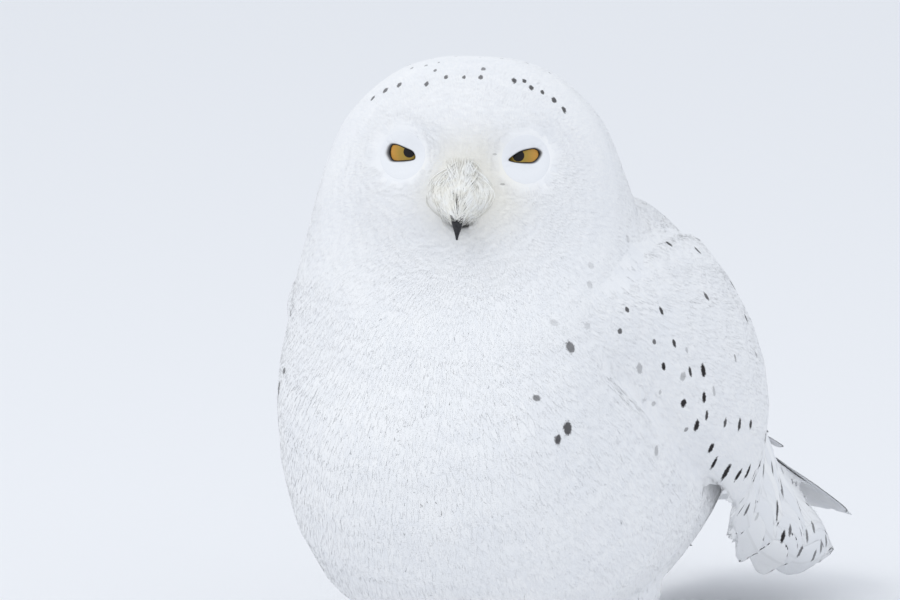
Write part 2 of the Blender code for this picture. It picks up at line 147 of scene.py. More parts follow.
def head_turn():
    """The head's turn about its pivot."""
    turn = (
        Matrix.Rotation(HEAD_YAW, 4, "Z")
        @ Matrix.Rotation(-HEAD_PITCH, 4, "X")
        @ Matrix.Rotation(HEAD_ROLL, 4, "Y")
    )
    return Matrix.Translation(HEAD_PIVOT + SHIFT) @ turn @ Matrix.Translation(-HEAD_PIVOT)


def on_head(x, y, z):
    """A point given in the head's own frame."""
    return head_turn() @ (Vector((x, y, z)) * MM)


def eye_frame(side):
    """Place of an eye: its own -Y looks out between the lids."""
    return (
        head_turn()
        @ Matrix.Translation((side * EYE_SPREAD, EYE_CENTRE_Y, EYE_HEIGHT))
        @ Matrix.Rotation(side * EYE_TOE_OUT, 4, "Z")
    )


def smooth_between(values, t):
    """Catmull-Rom through equally spaced values, each a number or a Vector."""
    last = len(values) - 1
    i = min(max(int(t), 0), last - 1)
    f = t - i
    p0, p1 = values[max(i - 1, 0)], values[i]
    p2, p3 = values[i + 1], values[min(i + 2, last)]
    return 0.5 * (
        2.0 * p1
        + (p2 - p0) * f
        + (2.0 * p0 - 5.0 * p1 + 4.0 * p2 - p3) * f * f
        + (3.0 * p1 - p0 - 3.0 * p2 + p3) * f * f * f
    )


def smoothstep(low, high, x):
    """0 below low, 1 above high, smooth between; takes arrays."""
    t = np.clip((x - low) / (high - low), 0.0, 1.0)
    return t * t * (3.0 - 2.0 * t)


def unit(v):
    """Rows scaled to length one."""
    return v / np.maximum(np.linalg.norm(v, axis=-1, keepdims=True), 1e-12)


def read(data, name, width, kind="f"):
    """A mesh column as an array."""
    values = np.empty(len(data) * width, kind)
    data.foreach_get(name, values)
    return values.reshape(-1, width) if width > 1 else values


def store(mesh, name, kind, values, domain="POINT"):
    """Write an attribute of a mesh."""
    if name in mesh.attributes:
        mesh.attributes.remove(mesh.attributes[name])
    attribute = mesh.attributes.new(name, kind, domain)
    key = "value" if kind == "FLOAT" else "vector"
    attribute.data.foreach_set(key, np.ascontiguousarray(values, np.float32).ravel())


def put_in_scene(name, data):
    """A new object of a mesh, a light or a camera."""
    made = bpy.data.objects.new(name, data)
    bpy.context.scene.collection.objects.link(made)
    return made


def make_object(name, verts, faces, shade=None, smooth=True, edges=()):
    """A new mesh object from points and faces."""
    mesh = bpy.data.meshes.new(name)
    mesh.from_pydata([tuple(v) for v in verts], edges, [tuple(f) for f in faces])
    mesh.update()
    if smooth:
        mesh.shade_smooth()
    if shade:
        mesh.materials.append(shade)
    return put_in_scene(name, mesh)


def discard(*objects):
    """Remove helper objects and their meshes."""
    for gone in objects:
        mesh = gone.data
        bpy.data.objects.remove(gone)
        if mesh and mesh.users == 0:
            bpy.data.meshes.remove(mesh)


def as_plain_mesh(obj):
    """Replace an object's mesh by its evaluated one and drop its modifiers."""
    bpy.context.view_layer.update()
    depsgraph = bpy.context.evaluated_depsgraph_get()
    mesh = bpy.data.meshes.new_from_object(
        obj.evaluated_get(depsgraph), preserve_all_data_layers=True, depsgraph=depsgraph
    )
    mesh.name = obj.name
    old = obj.data
    obj.modifiers.clear()
    obj.data = mesh
    if old.users == 0:
        bpy.data.meshes.remove(old)
    return obj


def loft(rings, close_start=True, close_end=True):
    """Points and faces through closed rings of equal count."""
    count = len(rings[0])
    verts = [p for ring in rings for p in ring]
    faces = []
    for i in range(len(rings) - 1):
        for k in range(count):
            a, b = i * count + k, i * count + (k + 1) % count
            faces.append((a, b, b + count, a + count))
    if close_start:
        faces.append(tuple(range(count))[::-1])
    if close_end:
        faces.append(tuple(range((len(rings) - 1) * count, len(rings) * count)))
    return verts, faces


def facing_out(obj):
    """Recalculate a closed piece's normals outward."""
    bm = bmesh.new()
    bm.from_mesh(obj.data)
    bmesh.ops.remove_doubles(bm, verts=bm.verts, dist=1e-6)
    bmesh.ops.recalc_face_normals(bm, faces=bm.faces)
    bm.to_mesh(obj.data)
    bm.free()


def faces_tree(meshes, back=Matrix()):
    """The faces of some meshes, brought into a frame, to cast rays at."""
    corners, faces = [], []
    for mesh in meshes:
        first = len(corners)
        corners += [back @ v.co for v in mesh.vertices]
        faces += [tuple(first + i for i in f.vertices) for f in mesh.polygons]
    return BVHTree.FromPolygons(corners, faces)


def need(name):
    """An object that an earlier step made."""
    found = bpy.data.objects.get(name)
    if found is None:
        raise RuntimeError(f"{name} is missing: run the earlier steps first")
    return found


# --- Materials -----------------------------------------------------------------------------

class NodeWriter:
    """What the writers of materials and of geometry trees share."""

    def feed(self, socket, value):
        """Link a socket to an input, or give the input a value."""
        if isinstance(value, bpy.types.NodeSocket):
            self.tree.links.new(value, socket)
        else:
            socket.default_value = value

    def node(self, kind, inputs=(), **settings):
        """Add a node; inputs are values or sockets by name or position."""
        made = self.tree.nodes.new(kind)
        for key, value in settings.items():
            setattr(made, key, value)
        for key, value in dict(inputs).items():
            self.feed(made.inputs[key], value)
        return made

    def math(self, operation, *values):
        """A Math node's result."""
        return self.node("ShaderNodeMath", dict(enumerate(values)), operation=operation).outputs[0]

    def vector(self, operation, *values, out="Vector"):
        """A Vector Math node's result; a Scale takes its factor second."""
        keys = (0, "Scale") if operation == "SCALE" else range(len(values))
        made = self.node("ShaderNodeVectorMath", dict(zip(keys, values)), operation=operation)
        return made.outputs[out]


class Shade(NodeWriter):
    """A small writer of materials."""

    def __init__(self, name):
        self.material = bpy.data.materials.new(name)
        self.material.use_nodes = True
        self.tree = self.material.node_tree
        self.tree.nodes.clear()
        self.surface = self.node("ShaderNodeBsdfPrincipled")
        self.node("ShaderNodeOutputMaterial", {"Surface": self.surface.outputs[0]})

    def attribute(self, name, out="Vector"):
        """A mesh attribute."""
        return self.node("ShaderNodeAttribute", attribute_name=name).outputs[out]

    def objects(self):
        """Object coordinates."""
        return self.node("ShaderNodeTexCoord").outputs["Object"]

    def noise(self, vector, scale, detail=3.0, rough=0.5):
        """A noise texture's value."""
        inputs = {"Vector": vector, "Scale": scale, "Detail": detail, "Roughness": rough}
        return self.node("ShaderNodeTexNoise", inputs).outputs[0]

    def mix(self, factor, first, second):
        """Mix two colours."""
        inputs = {0: factor, 6: first, 7: second}
        return self.node("ShaderNodeMix", inputs, data_type="RGBA").outputs[2]

    def steps(self, value, low, high):
        """0 to 1 as value goes from low to high, smooth."""
        inputs = {"Value": value, "From Min": low, "From Max": high}
        made = self.node("ShaderNodeMapRange", inputs, interpolation_type="SMOOTHSTEP")
        return made.outputs[0]

    def bump(self, height, distance, strength=1.0, normal=None):
        """Bump normal."""
        inputs = {"Height": height, "Distance": distance, "Strength": strength}
        if normal is not None:
            inputs["Normal"] = normal
        return self.node("ShaderNodeBump", inputs).outputs[0]

    def one_sided(self):
        """The normal as the feather carries it, whichever side of it is seen."""
        seen = self.node("ShaderNodeNewGeometry").outputs
        turn = self.math("SUBTRACT", 1.0, self.math("MULTIPLY", seen["Backfacing"], 2.0))
        return self.vector("SCALE", seen["Normal"], turn)

    def set(self, **values):
        """Values or sockets of the surface, by name with _ for spaces."""
        for key, value in values.items():
            self.feed(self.surface.inputs[key.replace("_", " ")], value)
        return self.material


def colour(values):
    """A property's colour with alpha one."""
    return (*values, 1.0)


def mark_mask(shade, at):
    """How far a place lies inside the nearest dark mark: 1 inside, 0 outside."""
    offset = shade.vector("SUBTRACT", at, shade.attribute("mark_centre"))
    along = shade.vector("DOT_PRODUCT", offset, shade.attribute("mark_along"), out="Value")
    across = shade.vector("DOT_PRODUCT", offset, shade.attribute("mark_across"), out="Value")
    through = shade.vector("NORMALIZE", shade.vector(
        "CROSS_PRODUCT", shade.attribute("mark_along"), shade.attribute("mark_across")))
    deep = shade.math("MULTIPLY", shade.vector("DOT_PRODUCT", offset, through, out="Value"), 250.0)
    reach = shade.math("ADD", shade.math("POWER", along, 2.0), shade.math("POWER", across, 2.0))
    reach = shade.math("SQRT", shade.math("ADD", reach, shade.math("POWER", deep, 2.0)))
    ragged = shade.math("MULTIPLY", shade.math("SUBTRACT", shade.noise(at, 900.0, 2.0), 0.5), 0.9)
    edge = shade.steps(shade.math("ADD", reach, ragged), 1.25, 0.75)
    return shade.math("MULTIPLY", edge, shade.attribute("mark_dark", "Fac"))


def plumage_material(name, vaned):
    """White feathers: barbs, shafts, a cream stain round the bill and the dark marks."""
    p = bpy.context.scene.owl_plumage
    shade = Shade(name)
    at = shade.objects()
    tone = shade.attribute("tone", "Fac")
    cloud = shade.noise(at, 28.0, 3.0)
    by_feather = 0.55 if vaned else 0.3
    blend = shade.math("MULTIPLY", shade.math("SUBTRACT", tone, 0.5), by_feather)
    blend = shade.math("ADD", shade.math("ADD", blend, 0.275), shade.math("MULTIPLY", cloud, 0.45))
    white = shade.mix(shade.steps(blend, 0.2, 0.85), colour(p.shaded_white), colour(p.white))
    white = shade.mix(shade.attribute("cream", "Fac"), white, colour(p.cream))
    vane = shade.node("ShaderNodeSeparateXYZ", {0: shade.attribute("vane")})
    side = shade.math("ABSOLUTE", vane.outputs[0])
    barb = shade.math("SUBTRACT", vane.outputs[1], shade.math("MULTIPLY", side, 0.55))
    ripple = shade.math("SINE", shade.math("MULTIPLY", barb, 260.0 if vaned else 150.0))
    if vaned:
        shaft = shade.steps(side, 0.05, 0.02)
        white = shade.mix(shade.math("MULTIPLY", shaft, 0.35), white, colour(p.shaft))
    dark = mark_mask(shade, at)
    deep = shade.mix(shade.noise(at, 500.0, 2.0), colour(p.mark), colour(p.mark_edge))
    base = shade.mix(dark, white, deep)
    height = shade.math("ADD", shade.math("MULTIPLY", ripple, 0.5), shade.noise(at, 1400.0, 2.0))
    if vaned:
        normal = shade.bump(height, 0.00012, 0.5)
    else:
        normal = shade.bump(height, 0.00004, 0.5, shade.one_sided())
    plain = shade.math("SUBTRACT", 1.0, dark)
    shine = shade.math("MULTIPLY", plain, 0.2)
    return shade.set(
        Base_Color=base, Roughness=0.8, Normal=normal, Specular_IOR_Level=shine,
        Sheen_Weight=shine, Sheen_Roughness=0.5, Sheen_Tint=(1.0, 1.0, 1.0, 1.0),
    )


def skin_material():
    """Down close to the skin, in the plumage's colours and with its marks; on the bare lids a greyer
    white is painted shade, like the shade among the layers of the coat around them.
    """
    p = bpy.context.scene.owl_plumage
    shade = Shade("down")
    at = shade.objects()
    cloud = shade.steps(shade.noise(at, 60.0, 4.0), 0.2, 0.8)
    white = shade.mix(cloud, colour(p.shaded_white), colour(p.white))
    white = shade.mix(shade.attribute("cream", "Fac"), white, colour(p.cream))
    # painted shade: the bare lids take the shaded white, which stands in for the shade that the layered
    # coat around them gets
    white = shade.mix(shade.attribute("lid", "Fac"), white, colour(p.shaded_white))
    base = shade.mix(mark_mask(shade, at), white, colour(p.mark))
    rim = shade.attribute("rim", "Fac")
    base = shade.mix(rim, base, colour(bpy.context.scene.owl_face.rim))
    normal = shade.bump(shade.noise(at, 900.0, 3.0, 0.6), 0.00006)
    rough = shade.math("SUBTRACT", 0.9, shade.math("MULTIPLY", rim, 0.5))
    return shade.set(Base_Color=base, Roughness=rough, Normal=normal, Specular_IOR_Level=0.2)


# --- Skin ----------------------------------------------------------------------------------

STAIN_CENTRE = (5.0, -56.0, 272.0)
UNDER_VANES = 3.0 * MM
THIN_SHARE = 0.32


def near_node(points, names, reach):
    """Which points lie within reach of the solids of these nodes."""
    near = np.zeros(len(points), bool)
    for name in names:
        low, high = (np.array(corner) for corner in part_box(name))
        inside = np.flatnonzero(((points > low - reach) & (points < high + reach)).all(1))
        mesh = frame["nodes"][name].data
        mesh.calc_loop_triangles()
        corners = [v.co.copy() for v in mesh.vertices]
        tree = BVHTree.FromPolygons(corners, [tuple(t.vertices) for t in mesh.loop_triangles])
        for i in inside:
            near[i] |= tree.find_nearest(Vector(points[i]), reach)[0] is not None
    return near


def in_head(points):
    """Points in the head's own frame, in the tables' millimetres."""
    back = np.array(head_turn().inverted())
    return (points @ back[:3, :3].T + back[:3, 3]) / MM


def coat_map(points, outward):
    """Every column of the coat at each point of the skin: where, how long, which way."""
    p = bpy.context.scene.owl_plumage
    body = (points - np.array(SHIFT)) / MM
    q = in_head(points)
    away = np.linalg.norm(q - np.array(FACE_CENTRE), axis=1)
    wings = near_node(points, ("wing_left", "wing_right"), 2.0 * MM)
    tail = near_node(points, ("tail",), 2.0 * MM) & (body[:, 1] > 262)
    legs = near_node(points, ("leg_left", "leg_right"), 2.5 * MM) & (body[:, 2] < 60)
    feet = near_node(points, ("foot_left", "foot_right"), 2.5 * MM) & (body[:, 2] < 19)
    legs &= ~feet
    plain = ~(tail | legs | feet)
    face = smoothstep(76, 48, away) * smoothstep(2, -18, q[:, 1]) * plain
    head = smoothstep(232, 246, q[:, 2]) * (1 - face) * plain
    folded = wings * smoothstep(-5, 20, body[:, 1])
    wing = folded * (outward[:, 0] * np.sign(body[:, 0]) > 0.1)
    shoulder = wing * smoothstep(205, 160, body[:, 1])
    trunk = plain * (1 - face) * (1 - head) * (1 - folded)
    neck = trunk * smoothstep(176, 196, body[:, 2]) * smoothstep(70, 30, body[:, 1])
    back = trunk * (1 - neck) * smoothstep(-0.05, 0.25, outward[:, 2] + 0.3 * outward[:, 1])
    breast = trunk * (1 - neck) * (1 - back)
    length = (
        face * (p.face_length + (p.head_length - p.face_length) * smoothstep(14, 72, away))
        + head * (p.head_length + (p.neck_length - p.head_length) * smoothstep(262, 236, q[:, 2]))
        + neck * p.neck_length + back * p.back_length + breast * p.breast_length
        + legs * p.leg_length + feet * p.foot_length + wing * p.wing_length + tail * p.wing_length
    )
    blades = np.maximum(folded - shoulder, tail * 1.0)
    return dict(face=face, head=head, neck=neck, back=back, breast=breast, wing=shoulder,
                leg=legs * 1.0, foot=feet * 1.0, length=length, blades=blades), q, away


def feather_lie(points, outward, q, away, columns):
    """Unit direction in which the feathers lie, along the surface."""
    turn = np.array(head_turn())[:3, :3]
    flow = np.tile(np.array((0.0, 0.62, -0.79)), (len(points), 1))
    body = (points - np.array(SHIFT)) / MM
    flow[:, 0] += 0.22 * np.sign(body[:, 0]) * smoothstep(20, 70, np.abs(body[:, 0])) * columns["back"]
    radial = unit(q - np.array(FACE_CENTRE)) @ turn.T
    share = (columns["face"] + columns["head"])[:, None]
    hang = np.array((0, 0.12, -0.35)) * smoothstep(60, 110, away)[:, None]
    flow = flow * (1 - share) + (radial + hang) * share
    for side in SIDES.values():
        eye = in_head(np.array([eye_frame(side) @ Vector((0, -EYE_RADIUS, 0))]))[0]
        gap = np.linalg.norm(q - eye, axis=1)
        near = (smoothstep(30, 9, gap) * columns["face"])[:, None]
        flow = flow * (1 - near) + (unit(q - eye) @ turn.T) * near
    wing = columns["wing"][:, None]
    flow = flow * (1 - wing) + np.array((0.0, 0.8, -0.6)) * wing
    limbs = (columns["leg"] + columns["foot"])[:, None]
    flow = flow * (1 - limbs) + np.array((0.0, -0.55, -0.85)) * limbs
    flow -= outward * (flow * outward).sum(1, keepdims=True)
    return unit(flow)


def joined_flesh():
    """All the solids of flesh as one closed surface of even grain."""
    bm = bmesh.new()
    for node in FLESH:
        bm.from_mesh(frame["nodes"][node].data)
    mesh = bpy.data.meshes.new("skin")
    bm.to_mesh(mesh)
    bm.free()
    skin = put_in_scene("skin", mesh)
    remesh = skin.modifiers.new("one_surface", "REMESH")
    remesh.mode = "VOXEL"
    remesh.voxel_size = bpy.context.scene.owl_plumage.skin_grain
    return as_plain_mesh(skin)


def room_for_coat(mesh, points, outward, rise, blades):
    """How far to pull the surface in: the coat's depth, more under vanes, less where it is thin."""
    edges = read(mesh.edges, "vertices", 2, "i")
    tree = faces_tree([mesh])
    depth = rise + (UNDER_VANES - rise) * blades
    for i, (point, normal) in enumerate(zip(points, outward)):
        inner = tree.ray_cast(Vector(point - normal * 0.2 * MM), Vector(-normal))
        if inner[0] is not None:
            depth[i] = min(depth[i], THIN_SHARE * inner[3])
    for _ in range(8):
        total, count = depth.copy(), np.ones(len(depth))
        for a, b in ((0, 1), (1, 0)):
            np.add.at(total, edges[:, a], depth[edges[:, b]])
            np.add.at(count, edges[:, a], 1)
        depth = np.minimum(depth, total / count)
    return depth


def build_skin():
    """One skin from all the solids of flesh, pulled in by the depth of the coat."""
    p = bpy.context.scene.owl_plumage
    skin = joined_flesh()
    mesh = skin.data
    points = read(mesh.vertices, "co", 3).astype(float)
    outward = read(mesh.vertices, "normal", 3).astype(float)
    columns, q, away = coat_map(points, outward)
    rise = np.minimum(columns["length"] * p.depth_share, p.most_depth)
    depth = room_for_coat(mesh, points, outward, rise, columns["blades"])
    inner = points - outward * depth[:, None]
    mesh.vertices.foreach_set("co", inner.astype(np.float32).ravel())
    mesh.update()
    smooth = skin.modifiers.new("relax", "SMOOTH")
    smooth.factor = 0.5
    smooth.iterations = 3
    as_plain_mesh(skin)
    mesh = skin.data
    mesh.shade_smooth()
    edges = read(mesh.edges, "vertices", 2, "i")
    outward = unit(read(mesh.vertices, "normal", 3).astype(float))
    for _ in range(6):
        total = outward.copy()
        np.add.at(total, edges[:, 0], outward[edges[:, 1]])
        np.add.at(total, edges[:, 1], outward[edges[:, 0]])
        outward = unit(total)
    lie = feather_lie(points, outward, q, away, columns)
    for name, values in columns.items():
        store(mesh, "reach" if name == "length" else "coat_" + name, "FLOAT", values)
    store(mesh, "rise", "FLOAT", rise)
    stain = np.linalg.norm((q - np.array(STAIN_CENTRE)) / np.array((1.0, 1.0, 0.9)), axis=1)
    store(mesh, "cream", "FLOAT", smoothstep(36, 8, stain) * 0.6)
    store(mesh, "outward", "FLOAT_VECTOR", outward)
    store(mesh, "lie", "FLOAT_VECTOR", lie)
    store(mesh, "rim", "FLOAT", np.zeros(len(points)))
    store(mesh, "tucked", "FLOAT", np.zeros(len(points)))
    add_lids(skin)
    unwrap(skin)
    carry_marks(skin.data)
    skin.data.materials.clear()
    skin.data.materials.append(skin_material())
    return skin


def unwrap(skin):
    """Unwrap the skin's own shape into the map that every tuft takes its place from."""
    view = bpy.context.view_layer
    view.objects.active = skin
    skin.select_set(True)
    skin.data.uv_layers.new(name="OFBake")
    bpy.ops.object.mode_set(mode="EDIT")
    bpy.ops.mesh.select_all(action="SELECT")
    bpy.ops.uv.smart_project(angle_limit=math.radians(70), island_margin=0.004)
    bpy.ops.object.mode_set(mode="OBJECT")
    skin.select_set(False)


# --- Dark marks ----------------------------------------------------------------------------

# in rows down the folded wing: how far the marks lean back, then for each its rib position,
# share of the rib, half height, half width and darkness
WING_MARKS = (
    (0.9, ((1.65, 0.98, 2.2, 1.5, 0.9), (2.3, 0.93, 2.6, 1.4, 0.9), (2.95, 0.83, 3.0, 1.5, 0.9),
           (3.6, 0.8, 2.8, 1.8, 0.85), (4.3, 0.76, 2.8, 1.8, 0.85))),
    (0.6, ((0.5, 0.7, 1.5, 1.3, 0.9), (1.05, 0.66, 2.2, 1.2, 0.95), (1.85, 0.74, 2.4, 1.6, 0.85),
           (2.75, 0.7, 2.5, 1.3, 0.9), (3.3, 0.62, 2.6, 1.6, 0.8), (3.9, 0.58, 2.8, 1.8, 0.8))),
    (0.6, ((0.35, 0.51, 1.4, 1.4, 0.85), (0.9, 0.47, 1.5, 1.2, 0.8), (1.2, 0.49, 2.1, 1.2, 0.95),
           (1.37, 0.47, 1.6, 1.0, 0.3), (2.15, 0.51, 2.3, 1.0, 0.5), (2.7, 0.57, 2.2, 1.0, 0.5),
           (3.2, 0.42, 2.6, 1.6, 0.7), (3.75, 0.4, 2.8, 1.8, 0.8))),
    (0.5, ((0.7, 0.25, 3.4, 1.6, 0.4), (1.05, 0.34, 2.2, 1.4, 1.0), (1.33, 0.33, 2.2, 2.2, 0.4),
           (1.42, 0.37, 3.0, 1.0, 0.95), (1.6, 0.4, 3.8, 1.9, 1.0), (1.78, 0.33, 2.8, 1.1, 0.35))),
    (0.5, ((1.05, 0.18, 1.5, 0.9, 0.35), (1.4, 0.2, 2.7, 1.8, 1.0), (1.65, 0.28, 3.2, 1.4, 1.0),
           (1.75, 0.21, 3.0, 1.1, 0.95), (2.05, 0.23, 2.8, 1.2, 0.9), (2.3, 0.26, 4.2, 1.2, 0.95),
           (2.5, 0.29, 2.8, 1.4, 0.95), (3.0, 0.3, 3.0, 1.6, 0.6), (3.55, 0.24, 3.2, 1.8, 0.8))),
    (0.4, ((1.0, 0.09, 1.5, 1.3, 0.35), (1.55, 0.09, 1.5, 1.2, 0.6), (1.66, 0.14, 3.6, 1.7, 1.0),
           (2.0, 0.1, 3.5, 1.6, 1.0))),
    (0.3, ((2.18, 0.06, 4.4, 1.4, 1.0), (2.44, 0.07, 6.0, 1.9, 1.0), (2.68, 0.1, 4.6, 1.7, 1.0),
           (2.83, 0.14, 5.0, 1.4, 1.0), (3.04, 0.16, 3.4, 1.2, 0.7), (3.3, 0.08, 2.4, 2.2, 0.3),
           (3.7, 0.1, 4.0, 1.8, 0.85), (4.1, 0.16, 4.0, 2.0, 0.85))),
)
# the same for the flight feathers, whose marks grow greyer towards the tip
BLADE_MARKS = (
    (0.3, ((4.5, 0.2, 2.4, 2.2, 0.3), (5.4, 0.26, 3.8, 2.4, 1.0), (6.0, 0.24, 3.8, 2.4, 0.8),
           (6.7, 0.26, 3.6, 2.6, 0.75))),
    (0.3, ((4.35, 0.38, 3.4, 2.2, 0.7), (5.1, 0.36, 5.5, 2.4, 0.9), (5.55, 0.34, 3.2, 1.9, 0.8),
           (6.2, 0.44, 3.8, 2.4, 0.75), (7.0, 0.42, 3.6, 2.6, 0.7))),
    (0.3, ((4.95, 0.53, 3.6, 2.2, 0.85), (5.35, 0.55, 5.2, 2.8, 0.75), (6.05, 0.67, 3.2, 2.2, 0.8),
           (6.6, 0.6, 3.4, 2.6, 0.75), (7.4, 0.56, 3.2, 2.6, 0.7))),
)
# on the head: across and along at the first and last fleck, how many, half width, darkness
CROWN_FLECKS = (
    (-48, -22, -36, -26, 3, 1.0, 0.8), (-21, -32, 6, -29, 4, 1.0, 0.8),
    (21, -26, 46, -28, 6, 1.2, 0.9), (-31, -12, -17, -12, 3, 0.7, 0.5),
    (-18, -24, 5, -22, 2, 0.9, 0.7), (-34, 8, 36, 6, 7, 0.9, 0.5), (-26, 30, 28, 28, 5, 1.0, 0.5),
)
# flecks by the bill: across, up, half height, half width, darkness
FACE_FLECKS = ((20.0, 273.0, 0.5, 1.3, 0.4), (15.5, 287.5, 0.5, 1.1, 0.3))
# on the flank: along, up, half height, half width, darkness
FLANK_MARKS = (
    (-42, 201, 3.0, 2.0, 0.75), (-61, 178, 1.6, 1.5, 0.7), (-50, 162, 3.4, 2.2, 0.9),
    (-55, 157, 2.6, 1.6, 0.9), (-19, 238, 1.6, 1.6, 0.2), (-23, 229, 2.0, 1.5, 0.22),
    (-31, 210, 1.8, 1.6, 0.2), (-45, 213, 1.8, 1.6, 0.2), (16, 246, 1.8, 1.6, 0.2),
    (8, 168, 2.2, 2.0, 0.3), (20, 140, 2.6, 2.2, 0.4),
)
BACK_MARKS = 18
MARK_REACH = 16.0 * MM


def wing_marks(rng):
    """Marks in rows over the folded wings, the far one a little different."""
    marks = []
    for side in SIDES.values():
        sheet = WingSheet(side)
        loose = 0.0 if side > 0 else 0.07

        def at(t, v):
            point = sheet.arc(t, v)
            return Vector((side * point.x, point.y, point.z)) + SHIFT

        for lean, places in WING_MARKS + BLADE_MARKS:
            for t, v, tall, wide, dark in places:
                t += rng.uniform(-1, 1) * loose
                v += rng.uniform(-0.5, 0.5) * loose
                along = (at(t + 0.05, v) - at(t, v)).normalized()
                down = ((at(t, v - 0.04) - at(t, v)).normalized() + lean * along).normalized()
                along = (along - down * along.dot(down)).normalized()
                marks.append((at(t, v), down / (tall * MM), along / (wide * MM), dark))
    return marks


def head_and_body_marks(rng):
    """Small flecks over the crown, and a few marks on the flanks and the back."""
    tree = faces_tree(frame["nodes"][node].data for node in ("head", "neck", "trunk"))
    turned = head_turn().to_3x3()
    right, inward, up = Vector((1, 0, 0)), Vector((0, 1, 0)), Vector((0, 0, 1))
    marks = []

    def add(start, ahead, tall_way, wide_way, tall, wide, dark):
        hit = tree.ray_cast(start, ahead)[0]
        if hit is not None:
            marks.append((hit, tall_way / (tall * MM), wide_way / (wide * MM), dark))

    for x0, y0, x1, y1, count, wide, dark in CROWN_FLECKS:
        for k in range(count):
            f = k / max(1, count - 1)
            x = x0 + (x1 - x0) * f + rng.uniform(-0.8, 0.8)
            y = y0 + (y1 - y0) * f + rng.uniform(-1.5, 1.5)
            size = wide * rng.uniform(0.75, 1.3)
            tall, wide_way = 1.7 * size, turned @ right
            add(on_head(x, y, 400), turned @ -up, turned @ inward, wide_way, tall, size, dark)
    for x, z, tall, wide, dark in FACE_FLECKS:
        add(on_head(x, -120, z), turned @ inward, turned @ up, turned @ right, tall, wide, dark)
    for side in SIDES.values():
        for y, z, tall, wide, dark in FLANK_MARKS:
            if side < 0:
                y, z = y + rng.uniform(-8, 8), z + rng.uniform(-8, 8)
            add(place(side * 200, y, z), -side * right, up, inward, tall, wide, dark)
    for k in range(BACK_MARKS):
        x, y = rng.uniform(-48, 48), 78 + 7 * k + rng.uniform(-3, 3)
        add(place(x, y, 400), -up, inward, right, 2.2, 3.4, 0.8)
    return marks


def all_marks():
    """Every dark mark: centre, along over half height, across over half width, darkness."""
    return wing_marks(np.random.default_rng(31)) + head_and_body_marks(np.random.default_rng(32))


def carry_marks(mesh):
    """Give each face the nearest dark mark, for the material to draw."""
    places, along, across, dark = (np.array(part, np.float32) for part in zip(*all_marks()))
    centre = read(mesh.polygons, "center", 3)
    nearest = np.zeros(len(centre), int)
    close = np.zeros(len(centre), bool)
    for first in range(0, len(centre), 100000):
        part = slice(first, first + 100000)
        gap = ((centre[part, None, :] - places[None]) ** 2).sum(2)
        nearest[part] = gap.argmin(1)
        close[part] = gap.min(1) < MARK_REACH ** 2
    for name, column in (("mark_centre", places), ("mark_along", along), ("mark_across", across)):
        store(mesh, name, "FLOAT_VECTOR", column[nearest], "FACE")
    store(mesh, "mark_dark", "FLOAT", dark[nearest] * close, "FACE")


# --- Feather shapes ------------------------------------------------------------------------

def tuft(name, locks, fan, width, seed):
    """A tuft one unit long: thin pointed locks that fan out a little from one root."""
    rng = np.random.default_rng(seed)
    verts, faces, levels = [], [], []
    for k in range(locks):
        share = (2 * k + 1) / locks - 1
        lean = fan * share + rng.uniform(-0.05, 0.05)
        length = 1 - 0.12 * share * share + rng.uniform(-0.12, 0.04)
        half = 0.5 * width * rng.uniform(0.8, 1.2)
        curl = rng.uniform(-0.05, 0.05)
        level = rng.uniform(0.0, 1.0)
        first = len(verts)
        for s, share_wide in ((0.0, 0.7), (0.42, 1.0), (0.76, 0.72), (1.0, 0.0)):
            x = 0.4 * fan * share + math.sin(lean) * s * length + curl * s * s
            y = math.cos(lean) * s * length
            for edge in (-1, 1) if share_wide else (0,):
                verts.append((x + edge * half * share_wide, y, 0.0))
                levels.append(level)
        faces += [(first, first + 1, first + 3, first + 2), (first + 2, first + 3, first + 5, first + 4)]
        faces.append((first + 4, first + 5, first + 6))
    made = feather_object(name, verts, faces)
    store(made.data, "level", "FLOAT", levels)
    return made


def vane(name, rows, across, thick, seed, tip):
    """A firm feather one unit long and wide, a closed blade with a raised shaft."""
    rng = np.random.default_rng(seed)
    grid = {}
    verts, faces = [], []
    for layer in (1, 0):
        for i in range(rows + 1):
            y = i / rows
            wide = 0.5 * min(1.0, 0.30 + 1.1 * y) if y < 0.64 else 0.5
            over = max(0.0, (y - (1 - tip)) / tip)
            wide *= math.sqrt(max(0.0025, 1 - over ** 2.4))
            notch = 1.0 - 0.02 * rng.random() * (0.15 < y < 0.97)
            for k in range(across + 1):
                u = 2 * k / across - 1
                x = u * wide * (notch if abs(u) > 0.9 else 1.0)
                body = thick * (1 - abs(u) ** 1.5) * (1 - 0.8 * y)
                shaft = 0.5 * thick * math.exp(-(u / 0.12) ** 2) * (1 - y)
                z = (body + shaft) * (1 if layer else -0.6)
                if layer == 0 and (abs(u) == 1 or i in (0, rows)):
                    grid[layer, i, k] = grid[1, i, k]
                    continue
                grid[layer, i, k] = len(verts)
                verts.append((x, y - 0.04 * (u * u) * (y > 0.5) * over, z))
    for layer in (1, 0):
        for i in range(rows):
            for k in range(across):
                corners = ((i, k), (i, k + 1), (i + 1, k + 1), (i + 1, k))
                quad = tuple(grid[layer, *corner] for corner in corners)
                faces.append(quad if layer else quad[::-1])
    return feather_object(name, verts, faces)


def feather_object(name, verts, faces):
    """A feather shape that knows its own across and along as the map "vane"."""
    made = make_object(name, verts, faces)
    layer = made.data.uv_layers.new(name="vane")
    index = read(made.data.loops, "vertex_index", 1, "i")
    flat = np.array(verts, np.float32)[index][:, :2]
    layer.uv.foreach_set("vector", flat.ravel())
    return made


def feather_set(name, makers):
    """A collection of like feather shapes for the trees to pick from."""
    group = bpy.data.collections.new(name)
    for made in makers:
        for user in made.users_collection:
            user.objects.unlink(made)
        group.objects.link(made)
    return group


def clear_set(group):
    """Remove a set of feather shapes."""
    discard(*group.objects)
    bpy.data.collections.remove(group)


# --- Geometry node trees -------------------------------------------------------------------

